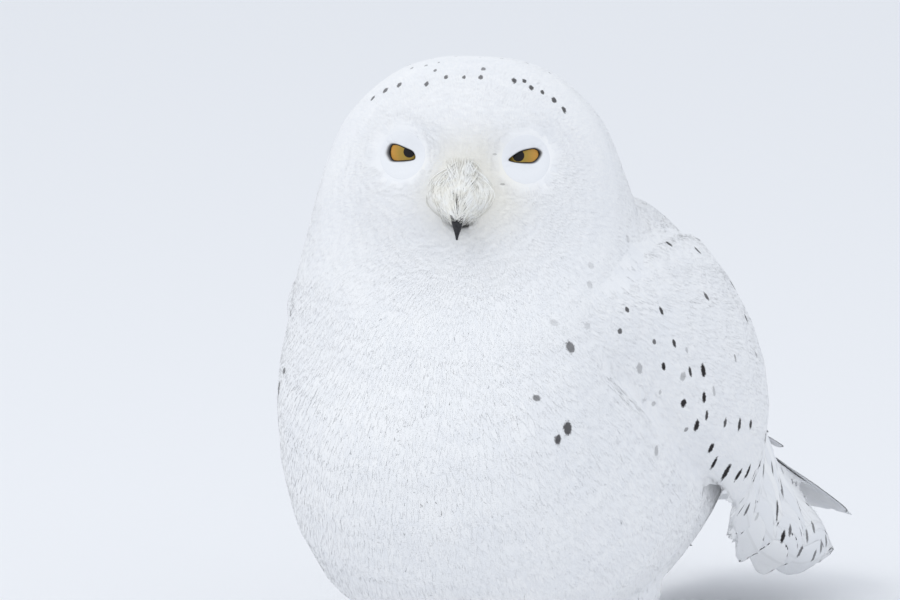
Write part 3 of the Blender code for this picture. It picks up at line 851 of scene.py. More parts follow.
# side of a feather's patch on the skin's unwrap, and how many shapes each set has
PATCH = 0.003
SHAPES = 3


class Recipe(NodeWriter):
    """A small writer of geometry node trees with named inputs."""

    def __init__(self, name, inputs):
        self.tree = bpy.data.node_groups.new(name, "GeometryNodeTree")
        self.tree.is_modifier = True
        face = self.tree.interface
        face.new_socket("Geometry", in_out="INPUT", socket_type="NodeSocketGeometry")
        for key, (kind, default) in inputs.items():
            socket = face.new_socket(key, in_out="INPUT", socket_type="NodeSocket" + kind)
            if default is not None:
                socket.default_value = default
        face.new_socket("Geometry", in_out="OUTPUT", socket_type="NodeSocketGeometry")
        self.given = self.tree.nodes.new("NodeGroupInput").outputs
        self.result = self.tree.nodes.new("NodeGroupOutput").inputs[0]

    def named(self, name, kind="FLOAT"):
        """A named attribute's value."""
        made = self.node("GeometryNodeInputNamedAttribute", {"Name": name}, data_type=kind)
        return made.outputs[0]

    def named_vector(self, name):
        """A named attribute's vector."""
        return self.named(name, "FLOAT_VECTOR")

    def random(self, low, high, salt):
        """A random number for each feather, from the tree's own seed."""
        seed = self.math("ADD", self.given["Seed"], float(salt))
        made = self.node("FunctionNodeRandomValue", {2: low, 3: high, "Seed": seed}, data_type="FLOAT")
        return made.outputs[1]

    def keep(self, geometry, name, value, kind="FLOAT", domain="POINT"):
        """Store a named attribute."""
        inputs = {"Geometry": geometry, "Name": name, "Value": value}
        made = self.node("GeometryNodeStoreNamedAttribute", inputs, data_type=kind, domain=domain)
        return made.outputs[0]

    def without(self, geometry, name):
        """Remove attributes by name, where * stands for anything."""
        inputs = {"Geometry": geometry, "Name": name}
        mode = "WILDCARD" if "*" in name else "EXACT"
        return self.node("GeometryNodeRemoveAttribute", inputs, pattern_mode=mode).outputs[0]

    def over(self, value, limit, operation="GREATER_THAN"):
        """Whether a number passes a limit."""
        inputs = {0: value, 1: limit}
        made = self.node("FunctionNodeCompare", inputs, data_type="FLOAT", operation=operation)
        return made.outputs[0]

    def blend(self, factor, first, second):
        """Mix two vectors by a factor."""
        inputs = {0: factor, 4: first, 5: second}
        return self.node("ShaderNodeMix", inputs, data_type="VECTOR").outputs[1]

    def join3(self, x, y, z):
        """A vector from three numbers."""
        return self.node("ShaderNodeCombineXYZ", {0: x, 1: y, 2: z}).outputs[0]

    def place_feathers(self, points, rotation, scale):
        """Instances of the picked feather shapes, made real."""
        shapes = self.node("GeometryNodeCollectionInfo", {0: self.given["Feathers"], 1: True, 2: True})
        inputs = {4: 0, 5: SHAPES - 1, "Seed": self.given["Seed"]}
        pick = self.node("FunctionNodeRandomValue", inputs, data_type="INT")
        inputs = {
            "Points": points, "Instance": shapes.outputs[0], "Pick Instance": True,
            "Instance Index": pick.outputs[2], "Rotation": rotation, "Scale": scale,
        }
        placed = self.node("GeometryNodeInstanceOnPoints", inputs).outputs[0]
        return self.node("GeometryNodeRealizeInstances", {0: placed}).outputs[0]

    def finish(self, geometry, outward):
        """The patch of each feather on the skin's unwrap, soft normals and the material."""
        patch = self.vector("SCALE", self.named_vector("vane"), PATCH)
        patch = self.vector("ADD", self.named_vector("root_map"), patch)
        geometry = self.keep(geometry, "OFBake", patch, "FLOAT2", "CORNER")
        own = self.node("GeometryNodeInputNormal").outputs[0]
        normal = self.vector("NORMALIZE", self.blend(self.given["Softness"], own, outward))
        inputs = {"Mesh": geometry, "Custom Normal": normal}
        geometry = self.node("GeometryNodeSetMeshNormal", inputs, mode="FREE", domain="POINT").outputs[0]
        for name in ("root_map", "outward", "lie", "reach", "rise", "size", "pose", "level"):
            geometry = self.without(geometry, name)
        inputs = {"Geometry": geometry, "Material": self.given["Material"]}
        shaded = self.node("GeometryNodeSetMaterial", inputs).outputs[0]
        self.tree.links.new(shaded, self.result)
        return self.tree


COMMON_INPUTS = {
    "Feathers": ("Collection", None),
    "Softness": ("Float", 0.7),
    "Seed": ("Int", 1),
    "Material": ("Material", None),
}


def contour_tree():
    """Scatter tufts over a region of the skin and lay them down on it, along the lie of the coat."""
    made = Recipe("contour_plumage", {
        "Region": ("String", "coat_back"),
        "Spacing": ("Float", 4.0 * MM),
        "Rise": ("Float", 1.0),
        "Disorder": ("Float", 0.2),
        **COMMON_INPUTS,
    })
    given = made.given
    skin = given["Geometry"]
    density = made.math("DIVIDE", 1.3, made.math("MULTIPLY", given["Spacing"], given["Spacing"]))
    inputs = {
        "Mesh": skin, "Distance Min": given["Spacing"], "Density Max": density,
        "Density Factor": made.named(given["Region"]), "Seed": given["Seed"],
    }
    scatter = made.node("GeometryNodeDistributePointsOnFaces", inputs, distribute_method="POISSON")
    points = scatter.outputs[0]
    points = made.keep(points, "root_map", made.named_vector("OFBake"), "FLOAT_VECTOR")
    for name in ("OFBake", "coat_*", "mark_*", "rim", "tucked"):
        points = made.without(points, name)
    points = made.keep(points, "tone", made.random(0.0, 1.0, 3))
    inputs = {0: made.named_vector("outward"), 1: made.named_vector("lie")}
    axes = made.node("FunctionNodeAxesToRotation", inputs, primary_axis="Z", secondary_axis="Y")
    spread = made.math("MULTIPLY", given["Disorder"], -1.0)
    yaw = made.random(spread, given["Disorder"], 7)
    own = made.node("FunctionNodeEulerToRotation", {0: made.join3(0.0, 0.0, yaw)}).outputs[0]
    inputs = {0: axes.outputs[0], 1: own}
    turned = made.node("FunctionNodeRotateRotation", inputs, rotation_space="LOCAL").outputs[0]
    length = made.math("MULTIPLY", made.named("reach"), made.random(0.82, 1.12, 8))
    real = made.place_feathers(points, turned, made.join3(length, length, length))
    position = made.node("GeometryNodeInputPosition").outputs[0]
    inputs = {"Geometry": skin, "Selection": made.over(made.named("tucked"), 0.5)}
    seen = made.node("GeometryNodeDeleteGeometry", inputs, domain="POINT").outputs[0]

    def on_skin(value):
        inputs = {0: seen, "Value": value, "Sample Position": position}
        return made.node("GeometryNodeSampleNearestSurface", inputs, data_type="FLOAT_VECTOR").outputs[0]

    outward = on_skin(made.named_vector("outward"))
    along = made.node("ShaderNodeSeparateXYZ", {0: made.named_vector("vane")}).outputs[1]
    climb = made.math("POWER", made.math("MAXIMUM", along, 0.0), 0.8)
    depth = made.math("MULTIPLY", made.named("rise"), given["Rise"])
    uneven = made.math("ADD", 0.94, made.math("MULTIPLY", made.named("tone"), 0.06))
    uneven = made.math("ADD", uneven, made.math("MULTIPLY", made.named("level"), 0.05))
    height = made.math("MULTIPLY", made.math("MULTIPLY", climb, depth), uneven)
    height = made.math("SUBTRACT", height, 0.15 * MM)
    agree = made.vector("DOT_PRODUCT", outward, made.named_vector("outward"), out="Value")
    stray = made.over(agree, 0.15, "LESS_THAN")
    laid = made.vector("ADD", on_skin(position), made.vector("SCALE", outward, height))
    real = made.keep(real, "stray", stray, "BOOLEAN")
    real = made.keep(real, "outward", outward, "FLOAT_VECTOR")
    real = made.node("GeometryNodeSetPosition", {"Geometry": real, "Position": laid}).outputs[0]
    inputs = {"Geometry": real, "Selection": made.named("stray", "BOOLEAN")}
    real = made.node("GeometryNodeDeleteGeometry", inputs, domain="POINT").outputs[0]
    real = made.without(real, "stray")
    return made.finish(real, made.named_vector("outward"))


def fill_inputs(modifier, values):
    """Set a tree's inputs on its modifier by socket identifier."""
    for item in modifier.node_group.interface.items_tree:
        if item.item_type == "SOCKET" and item.in_out == "INPUT" and item.name in values:
            modifier[item.identifier] = values[item.name]


def grow_plumage(name, region, spacing, disorder, feathers, shade, seed, softness=0.95):
    """One piece of soft plumage over a region of the skin."""
    skin = need("skin")
    mesh = skin.data.copy()
    mesh.name = name
    piece = put_in_scene(name, mesh)
    modifier = piece.modifiers.new("plumage", "NODES")
    modifier.node_group = bpy.data.node_groups.get("contour_plumage") or contour_tree()
    fill_inputs(modifier, {
        "Region": region, "Spacing": spacing, "Rise": 1.0, "Disorder": disorder,
        "Feathers": feathers, "Softness": softness, "Seed": seed, "Material": shade,
    })
    as_plain_mesh(piece)
    carry_marks(piece.data)
    hand_over(piece)
    return piece


def hand_over(piece, nodes=()):
    """Attach the piece to the root body, and hide the solids that it replaces."""
    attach(piece, "root")
    if nodes:
        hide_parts(*nodes)


# --- Guides and rows of vanes --------------------------------------------------------------

# size of a guide's chart, and the place on it that the chart counts from
CHART_LONG, CHART_WIDE = 0.6, 0.3
CHART_START, CHART_LOW = 0.08, 0.15
# samples from one wing rib to the next
RIB_STEPS = 20


def extended(values, t):
    """smooth_between, carried on in a straight line past both ends."""
    last = len(values) - 1
    inside = min(max(t, 0.0), float(last))
    point = smooth_between(values, inside)
    if t == inside:
        return point
    step = 0.02 if t < 0 else -0.02
    slope = (point - smooth_between(values, inside + step)) * (-1 if t < 0 else 1) / 0.02
    return point + slope * (t - inside)


class WingSheet:
    """The outer side of a folded wing: rib position t and share v, 0 at its lower edge."""

    def __init__(self, side):
        self.side = side
        self.columns = [[Vector(rib[k]) * MM for rib in WING_RIBS] for k in range(3)]
        self.thick = [rib[3] * MM for rib in WING_RIBS]
        self.length = [0.0]
        self.last = len(WING_RIBS) - 1
        samples = [extended(self.columns[1], i / RIB_STEPS) for i in range(self.last * RIB_STEPS + 1)]
        for a, b in zip(samples, samples[1:]):
            self.length.append(self.length[-1] + (b - a).length)

    def rib(self, t):
        """Lower, outermost and upper point of the rib at t."""
        return [extended(column, t) for column in self.columns]

    def arc(self, t, v):
        """A point of the rib's arc, carried on straight past its ends."""
        low, mid, high = self.rib(t)
        inside = min(max(v, 0.0), 1.0)
        bend = mid - (low + high) / 2
        point = low.lerp(high, inside) + bend * 4 * inside * (1 - inside)
        slope = (high - low) + bend * 4 * (1 - 2 * inside)
        out = slope.cross((mid - low).cross(high - mid)).normalized()
        half = max(0.5 * MM, extended(self.thick, t) / 2) * (1 - abs(2 * inside - 1) ** 3)
        return point + slope * (v - inside) + out * half

    def along(self, t):
        """Distance along the wing of the rib at t."""
        length = self.length
        f = min(max(t * RIB_STEPS, 0.0), self.last * RIB_STEPS - 0.001)
        i = int(f)
        inner = length[i] + (length[i + 1] - length[i]) * (f - i)
        slope = (length[1] - length[0] if t < 0 else length[-1] - length[-2]) * RIB_STEPS
        return inner + slope * (t - f / RIB_STEPS if t < 0 or t > self.last else 0.0)

    def across(self, t, v):
        """Distance up the rib from its middle to the share v."""
        steps = 12
        points = [self.arc(t, 0.5 + (v - 0.5) * i / steps) for i in range(steps + 1)]
        total = sum((b - a).length for a, b in zip(points, points[1:]))
        return math.copysign(total, v - 0.5)

    def chart(self, t, v):
        """Chart place of a rib position and share."""
        return self.along(t), self.across(t, v)

    def guide(self):
        """The sheet as a mesh with its chart as a UV map."""
        # every 0.16 of a rib from well before the first to past the last; every 6 mm across
        rows = [i * 0.16 - 0.64 for i in range(67)]
        columns = [i * 0.006 - 0.144 for i in range(49)]
        points = np.zeros((len(rows), len(columns), 3))
        chart = np.zeros((len(rows), len(columns), 2))
        for i, t in enumerate(rows):
            shares = np.linspace(-1.6, 2.6, 64)
            reach = np.array([self.across(t, float(v)) for v in shares])
            arc = np.array([self.arc(t, float(v)) for v in shares])
            for k in range(3):
                points[i, :, k] = np.interp(columns, reach, arc[:, k])
            chart[i, :, 0], chart[i, :, 1] = self.along(t), columns
        points[..., 0] *= self.side
        return guide_mesh(f"wing_guide_{self.side}", points, chart, self.side)


def guide_mesh(name, points, chart, side):
    """A grid whose normals look away from the body, with its chart as a UV map."""
    rows, columns = points.shape[:2]
    verts = points.reshape(-1, 3) + np.array(SHIFT)
    faces = []
    for i in range(rows - 1):
        for k in range(columns - 1):
            a = i * columns + k
            quad = (a, a + 1, a + 1 + columns, a + columns)
            faces.append(quad if side < 0 else quad[::-1])
    made = make_object(name, verts, faces)
    layer = made.data.uv_layers.new(name="chart")
    index = read(made.data.loops, "vertex_index", 1, "i")
    flat = chart.reshape(-1, 2) + np.array((CHART_START, CHART_LOW))
    flat = flat / np.array((CHART_LONG, CHART_WIDE))
    layer.uv.foreach_set("vector", flat[index].astype(np.float32).ravel())
    return made


# name: rib position and share of the first and last feather, how many, length, width,
# base height and rise of the tip
WING_ROWS = {
    "tertials": ((3.3, 0.17), (3.5, 0.76), 10, 76, 24, -1.6, 1.9),
    "secondaries": ((3.95, 0.12), (4.25, 0.78), 10, 84, 25, -1.2, 1.6),
    "primary_coverts": ((4.7, 0.08), (4.95, 0.82), 8, 78, 22, -1.2, 1.6),
    "primaries": ((5.2, 0.1), (5.5, 0.8), 8, 116, 22, -1.2, 1.6),
}


def row_points(sheet, rows, rng):
    """For each feather of the rows its place on the chart, pose, size and tone."""
    feathers = []
    for first, last, count, length, width, base, rise in rows.values():
        for i in range(count):
            f = i / max(1, count - 1)
            t = first[0] + (last[0] - first[0]) * f + rng.uniform(-0.03, 0.03)
            v = first[1] + (last[1] - first[1]) * f
            x, y = sheet.chart(t, v)
            ahead = sheet.chart(t + 0.5, v)
            heading = math.atan2(ahead[1] - y, ahead[0] - x) + rng.uniform(-0.03, 0.03)
            reach = length * rng.uniform(0.95, 1.05) * MM
            pose = (math.atan2(rise * MM, reach), 0.035, heading - math.pi / 2)
            size = (width * MM * rng.uniform(0.95, 1.05), reach, 1.0)
            feathers.append(((x, y, base * MM), pose, size, rng.random()))
    return feathers


def vane_tree():
    """Lay firm feathers in rows on a guide sheet: each bends with the sheet."""
    made = Recipe("vane_rows", {
        "Guide": ("Object", None),
        "Skin": ("Object", None),
        "Mirrored": ("Bool", False),
        **COMMON_INPUTS,
    })
    given = made.given

    def info(socket):
        found = made.node("GeometryNodeObjectInfo", {0: socket}, transform_space="ORIGINAL")
        return found.outputs["Geometry"]

    guide, skin = info(given["Guide"]), info(given["Skin"])
    position = made.node("GeometryNodeInputPosition").outputs[0]
    outward = made.node("GeometryNodeInputNormal").outputs[0]
    chart = made.vector("ADD", position, (CHART_START, CHART_LOW, 0.0))
    chart = made.vector("DIVIDE", chart, (CHART_LONG, CHART_WIDE, 1.0))

    def on_guide(value):
        chart_of_guide = made.named_vector("chart")
        inputs = {0: guide, "Value": value, "Source UV Map": chart_of_guide, "Sample UV": chart}
        return made.node("GeometryNodeSampleUVSurface", inputs, data_type="FLOAT_VECTOR").outputs[0]

    points = made.node("GeometryNodeMeshToPoints", {0: given["Geometry"]}).outputs[0]
    unwrap_of_skin = made.named_vector("OFBake")
    inputs = {0: skin, "Value": unwrap_of_skin, "Sample Position": on_guide(position)}
    nearest = made.node("GeometryNodeSampleNearestSurface", inputs, data_type="FLOAT_VECTOR")
    points = made.keep(points, "root_map", nearest.outputs[0], "FLOAT_VECTOR")
    turned = made.node("FunctionNodeEulerToRotation", {0: made.named_vector("pose")}).outputs[0]
    real = made.place_feathers(points, turned, made.named_vector("size"))
    height = made.node("ShaderNodeSeparateXYZ", {0: position}).outputs[2]
    facing = made.node("ShaderNodeSeparateXYZ", {0: outward}).outputs[2]
    under = made.math("MULTIPLY", made.math("LESS_THAN", facing, -0.2), 2.0)
    away = made.vector("SCALE", on_guide(outward), made.math("SUBTRACT", 1.0, under))
    real = made.keep(real, "outward", away, "FLOAT_VECTOR")
    lifted = made.vector("SCALE", on_guide(outward), height)
    bent = made.vector("ADD", on_guide(position), lifted)
    real = made.node("GeometryNodeSetPosition", {"Geometry": real, "Position": bent}).outputs[0]
    real = made.node("GeometryNodeFlipFaces", {"Mesh": real, "Selection": given["Mirrored"]}).outputs[0]
    return made.finish(real, made.named_vector("outward"))


def lay_vanes(name, guide, rooted, feathers, shade, seed, softness, mirrored=False):
    """One piece of firm feathers on a guide sheet."""
    places, poses, sizes, tones = zip(*rooted)
    piece = make_object(name, places, [])
    store(piece.data, "pose", "FLOAT_VECTOR", poses)
    store(piece.data, "size", "FLOAT_VECTOR", sizes)
    store(piece.data, "tone", "FLOAT", tones)
    modifier = piece.modifiers.new("rows", "NODES")
    modifier.node_group = bpy.data.node_groups.get("vane_rows") or vane_tree()
    fill_inputs(modifier, {
        "Guide": guide, "Skin": need("skin"), "Mirrored": mirrored, "Feathers": feathers,
        "Softness": softness, "Seed": seed, "Material": shade,
    })
    as_plain_mesh(piece)
    carry_marks(piece.data)
    hand_over(piece)
    return piece


def tail_guide():
    """The upper side of the closed tail, mapped by distance along and across."""
    along = Vector((0, math.cos(TAIL_SLOPE), math.sin(TAIL_SLOPE)))
    up = Vector((0, -math.sin(TAIL_SLOPE), math.cos(TAIL_SLOPE)))
    # every 12 mm from 60 mm before the root to past the tip; every 5 mm across
    rows = [i * 0.012 - 0.06 for i in range(26)]
    columns = [i * 0.005 - 0.075 for i in range(31)]
    points = np.zeros((len(rows), len(columns), 3))
    chart = np.zeros((len(rows), len(columns), 2))
    for i, reach in enumerate(rows):
        for k, x in enumerate(columns):
            droop = 8.0 * MM * (x / 0.05) ** 2 * (0.5 + 0.5 * max(0.0, reach) / TAIL_LENGTH)
            t = min(max(reach / TAIL_LENGTH, 0.0), 1.0)
            half = (30.0 + 20.0 * t ** 0.8) * MM
            crown = (6.0 - 4.0 * t) * MM * (1 - min(1.0, abs(x) / half) ** 4)
            points[i, k] = TAIL_ROOT + along * reach + up * (crown - droop) + Vector((x, 0, 0))
            chart[i, k] = reach, x
    return guide_mesh("tail_guide", points, chart, -1)


def tail_rows(rng):
    """Twelve tail feathers and the coverts over their roots, as row_points gives them."""
    feathers = []
    for i in range(12):
        u = (i - 5.5) / 5.5
        at = (12 * MM, u * 18 * MM, (1.6 - 3.4 * abs(u)) * MM)
        pose = (0.0, 0.02 * (1 if u > 0 else -1), u * 0.155 - math.pi / 2)
        feathers.append((at, pose, (31 * MM, (164 - 9 * u * u) * MM, 1.0), rng.random()))
    for row, (start, length, wide) in enumerate(((8, 62, 26), (-12, 56, 25), (-32, 52, 24))):
        for i in range(7):
            u = (i - 3) / 3 + 0.08 * (row % 2)
            at = (start * MM, u * 27 * MM, (2.6 + 0.5 * row - 1.5 * abs(u)) * MM)
            pose = (0.035, 0.03 * u, u * 0.16 + rng.uniform(-0.04, 0.04) - math.pi / 2)
            size = (wide * MM, length * MM * rng.uniform(0.94, 1.06), 1.0)
            feathers.append((at, pose, size, rng.random()))
    return feathers


# --- Eyes, lids, bill and claws ------------------------------------------------------------

EYE_BALL = 12.1 * MM
EYE_INWARD = {"left": math.radians(17.3), "right": math.radians(15.3)}
EYE_UPWARD = math.radians(7.0)
# the opening between the lids: towards the temple, and up, from the eye's middle
LID_OUTLINES = {
    "right": ((7.9, 0.7), (6.6, 4.3), (3.2, 4.7), (-1.2, 3.4), (-5.3, 1.5), (-6.2, -1.9), (-1.4, -3.2),
              (4.8, -3.4), (6.8, -1.8)),
    "left": ((7.3, 2.6), (5.8, 4.6), (3.2, 5.2), (-2.0, 4.0), (-6.2, 1.5), (-8.3, -0.8), (-4.3, -1.9),
             (2.2, -1.9), (5.2, -0.6)),
}
# off each eye's axis: the skin's edge, the lids' edge, and how far the face is smoothed over it
LID_REACH = 11.0
LID_EDGE = 11.7
LID_BLEND = 2.0
# ahead of the eye's middle: where the lids' part of the face begins
LID_START = 3.0
# for each ring of a lid, from the eye outwards and back behind: how dark its rim is, and how far
# it faces away from the eye's middle rather than with the face
LID_RIMS = (1.0, 0.95, 0.75, 0.3, 0.0, 0.0, 0.0, 0.0, 0.0, 1.0)
LID_ROUND = (1.0, 1.0, 0.9, 0.7, 0.45, 0.2, 0.0, 0.0, 0.0, 1.0)
LID_SEEN = 8
LID_AROUND = 64


def eye_material(name):
    """Golden iris with fine spokes round a black pupil, under a wet surface."""
    p = bpy.context.scene.owl_face
    shade = Shade(name)
    iris = shade.attribute("iris")
    parts = shade.node("ShaderNodeSeparateXYZ", {0: iris})
    reach = parts.outputs[0]
    spoke = shade.noise(shade.attribute("spoke"), 26.0, 3.0, 0.6)
    warm = shade.steps(reach, p.pupil / EYE_BALL, p.iris / EYE_BALL)
    gold = shade.mix(warm, colour(p.iris_inner), colour(p.iris_outer))
    lines = shade.math("MULTIPLY", shade.steps(spoke, 0.35, 0.75), 0.45)
    gold = shade.mix(lines, gold, colour(p.iris_spoke))
    ragged = shade.math("ADD", reach, shade.math("MULTIPLY", shade.math("SUBTRACT", spoke, 0.5), 0.02))
    rim = shade.steps(ragged, p.iris / EYE_BALL - 0.07, p.iris / EYE_BALL + 0.01)
    gold = shade.mix(rim, gold, colour(p.rim))
    pupil = shade.steps(ragged, p.pupil / EYE_BALL + 0.012, p.pupil / EYE_BALL - 0.012)
    base = shade.mix(pupil, gold, colour(p.pupil_black))
    return shade.set(
        Base_Color=base, Roughness=0.35, Specular_IOR_Level=0.2,
        Coat_Weight=0.35, Coat_Roughness=0.02, Coat_IOR=1.36,
    )


def build_eye(label, side):
    """An eyeball whose pole is its pupil."""
    inward = Matrix.Rotation(-side * EYE_INWARD[label], 4, "Z") @ Matrix.Rotation(-EYE_UPWARD, 4, "X")
    place_eye = eye_frame(side) @ inward
    rings, around = 40, 64
    verts, reaches, spokes = [], [], []
    faces = []
    for i in range(1, rings):
        angle = math.pi * i / rings
        for k in range(around):
            turn = 2 * math.pi * k / around
            verts.append(place_eye @ (Vector((
                math.sin(angle) * math.cos(turn), -math.cos(angle), math.sin(angle) * math.sin(turn),
            )) * EYE_BALL))
            reaches.append(angle)
            spokes.append((math.cos(turn), math.sin(turn), 0.12 * angle))
    count = len(verts)
    verts += [place_eye @ Vector((0, -EYE_BALL, 0)), place_eye @ Vector((0, EYE_BALL, 0))]
    reaches += [0.0, math.pi]
    spokes += [(0, 0, 0), (0, 0, 0)]
    for i in range(rings - 2):
        for k in range(around):
            a, b = i * around + k, i * around + (k + 1) % around
            faces.append((a, b, b + around, a + around))
    for k in range(around):
        faces.append((count, (k + 1) % around, k))
        last = (rings - 2) * around
        faces.append((count + 1, last + k, last + (k + 1) % around))
    made = make_object(f"eye_{label}_ball", verts, faces, need_material("golden_eye", eye_material))
    store(made.data, "iris", "FLOAT_VECTOR", [(r, 0, 0) for r in reaches])
    store(made.data, "spoke", "FLOAT_VECTOR", spokes)
    facing_out(made)
    hand_over(made, (f"eye_{label}",))


def need_material(name, maker, *settings):
    """The named material, made once."""
    return bpy.data.materials.get(name) or maker(name, *settings)


def closed_curve(points, count):
    """Catmull-Rom round a closed outline."""
    n = len(points)
    outline = []
    for i in range(count):
        t = i / count * n
        k = int(t)
        around = [Vector(points[(k + j - 1) % n]) for j in range(4)]
        outline.append(smooth_between(around, 1 + t - k))
    return outline


def face_depth(mesh, frame_of_eye, side):
    """A function from a direction and distance off an eye's axis to the depth of the face there."""
    tree = faces_tree([mesh], frame_of_eye.inverted())

    def at(angle, reach):
        start = Vector((side * (reach * math.cos(angle)), -80, reach * math.sin(angle)))
        return -tree.ray_cast(start * MM, Vector((0, 1, 0)))[0].y / MM

    def depth(angle, reach):
        near, far = at(angle, LID_EDGE), at(angle, LID_EDGE + 1.6)
        return near + (far - near) / 1.6 * (reach - LID_EDGE)

    return depth


def lid_mesh(skin, label, side):
    """Both lids of an eye: a dark rim on the eyeball that rises to the face."""
    frame_of_eye = eye_frame(side)
    depth = face_depth(skin.data, frame_of_eye, side)
    ball = EYE_BALL / MM
    rings = [[] for _ in LID_RIMS]
    for lateral, up in closed_curve(LID_OUTLINES[label], LID_AROUND):
        angle, reach = math.atan2(up, lateral), math.hypot(lateral, up)
        rim = 0.28 + 0.9 * max(0.0, math.cos(angle)) ** 3

        def on_ball(r, out):
            return math.sqrt(max((ball + out) ** 2 - r * r, 1.0))

        def on_face(r, out):
            return depth(angle, r) + out

        places = [(reach - 0.5, on_ball(reach - 0.5, 0.12)), (reach, on_ball(reach, 0.5))]
        rise = on_face(reach + rim + 0.6, 0.15)
        for share, extra in ((0.45, rim * 0.6), (0.8, rim), (0.97, rim + 0.6)):
            low = on_ball(min(reach + extra, 10.5), 0.7)
            places.append((reach + extra, max(low + (rise - low) * share, low - 0.2)))
        outer = max(LID_EDGE, reach + rim + 1.4)
        middle = (reach + rim + 0.6 + outer) / 2
        over = on_ball(min(middle, 11.5), 0.5)
        places += [(middle, max(on_face(middle, 0.25), over)), (outer, on_face(outer, 0.18)),
                   (outer + 1.3, on_face(outer + 1.3, -0.35)),
                   (outer - 0.5, on_face(outer, -2.2)), (reach - 0.2, on_ball(reach - 0.2, -0.4))]
        for ring, (r, forward) in zip(rings, places):
            point = Vector((side * r * math.cos(angle), -forward, r * math.sin(angle))) * MM
            ring.append(frame_of_eye @ point)
    verts, faces = loft(rings + [rings[0]], False, False)
    total = len(rings) * LID_AROUND
    return verts[:total], [tuple(i % total for i in face) for face in faces]


def off_eye(points, side):
    """For points of the face: how far off an eye's axis, and how far ahead of its middle."""
    back = np.array(eye_frame(side).inverted())
    at = (points @ back[:3, :3].T + back[:3, 3]) / MM
    return np.hypot(at[:, 0], at[:, 2]), -at[:, 1]


def open_sockets(skin):
    """Cut the skin away where the lids take its place."""
    bm = bmesh.new()
    bm.from_mesh(skin.data)
    gone = []
    for side in SIDES.values():
        back = eye_frame(side).inverted()
        for face in bm.faces:
            at = back @ face.calc_center_median() / MM
            if math.hypot(at.x, at.z) < LID_REACH and LID_START < -at.y < 22:
                gone.append(face)
    bmesh.ops.delete(bm, geom=list(set(gone)), context="FACES")
    bm.to_mesh(skin.data)
    bm.free()
    points = read(skin.data.vertices, "co", 3).astype(float)
    cover = read(skin.data.attributes["coat_face"].data, "value", 1)
    for side in SIDES.values():
        off, ahead = off_eye(points, side)
        cover[(off < LID_EDGE - 0.9) & (ahead > LID_START)] = 0.0
    skin.data.attributes["coat_face"].data.foreach_set("value", cover.astype(np.float32))


def face_around(skin):
    """Smooth the outward direction over each socket, and return a function that reads it."""
    points = read(skin.data.vertices, "co", 3).astype(float)
    outward = read(skin.data.attributes["outward"].data, "vector", 3).astype(float)
    nearer = np.full(len(points), np.inf)
    for side in SIDES.values():
        off, ahead = off_eye(points, side)
        nearer = np.where((ahead > LID_START) & (ahead < 40), np.minimum(nearer, off), nearer)
    face = np.flatnonzero((nearer > LID_EDGE + LID_BLEND) & (nearer < LID_EDGE + 9.0))
    near = KDTree(len(face))
    for i in face:
        near.insert(points[i], int(i))
    near.balance()

    def around(point):
        found = near.find_n(point, 40)
        weights = np.array([1.0 / (distance / MM + 1.0) for _, _, distance in found])
        return unit((outward[[i for _, i, _ in found]] * weights[:, None]).sum(0))

    for i in np.flatnonzero(nearer <= LID_EDGE + LID_BLEND):
        part = float(smoothstep(LID_EDGE + LID_BLEND, LID_EDGE + 0.5, nearer[i]))
        outward[i] = unit(around(points[i]) * part + outward[i] * (1 - part))
    skin.data.attributes["outward"].data.foreach_set("vector", outward.astype(np.float32).ravel())
    return around


def add_lids(skin):
    """Join the lids, bare but for their down, to the skin."""
    shapes = {label: lid_mesh(skin, label, side) for label, side in SIDES.items()}
    face_out = face_around(skin)
    open_sockets(skin)
    for label, side in SIDES.items():
        lid = make_object("lid", *shapes[label])
        facing_out(lid)
        mesh = lid.data
        points = read(mesh.vertices, "co", 3).astype(float)
        own = np.repeat(LID_ROUND, LID_AROUND)[:, None]
        around = np.array([face_out(point) for point in points])
        radial = unit(points - np.array(eye_frame(side).to_translation()))
        ring = np.repeat(np.arange(len(LID_RIMS)), LID_AROUND)
        store(mesh, "outward", "FLOAT_VECTOR", unit(radial * own + around * (1 - own)))
        store(mesh, "tucked", "FLOAT", ring >= LID_SEEN)
        store(mesh, "rim", "FLOAT", np.repeat(LID_RIMS, LID_AROUND))
        # the lid attribute gives the lids the shaded white in skin_material, as painted shade that
        # matches the coat around them
        store(mesh, "lid", "FLOAT", np.ones(len(points)))
        with bpy.context.temp_override(active_object=skin, selected_editable_objects=[skin, lid]):
            bpy.ops.object.join()


def horn_material(name):
    """Black horn: fine growth lines and a soft shine."""
    p = bpy.context.scene.owl_face
    shade = Shade(name)
    at = shade.objects()
    grain = shade.noise(at, 700.0, 3.0)
    base = shade.mix(shade.steps(grain, 0.35, 0.75), colour(p.horn), colour(p.horn_worn))
    normal = shade.bump(shade.noise(at, 1500.0, 3.0), 0.00008)
    rough = shade.math("ADD", 0.28, shade.math("MULTIPLY", grain, 0.2))
    return shade.set(Base_Color=base, Roughness=rough, Normal=normal, Specular_IOR_Level=0.3,
                     Coat_Weight=0.08, Coat_Roughness=0.2)


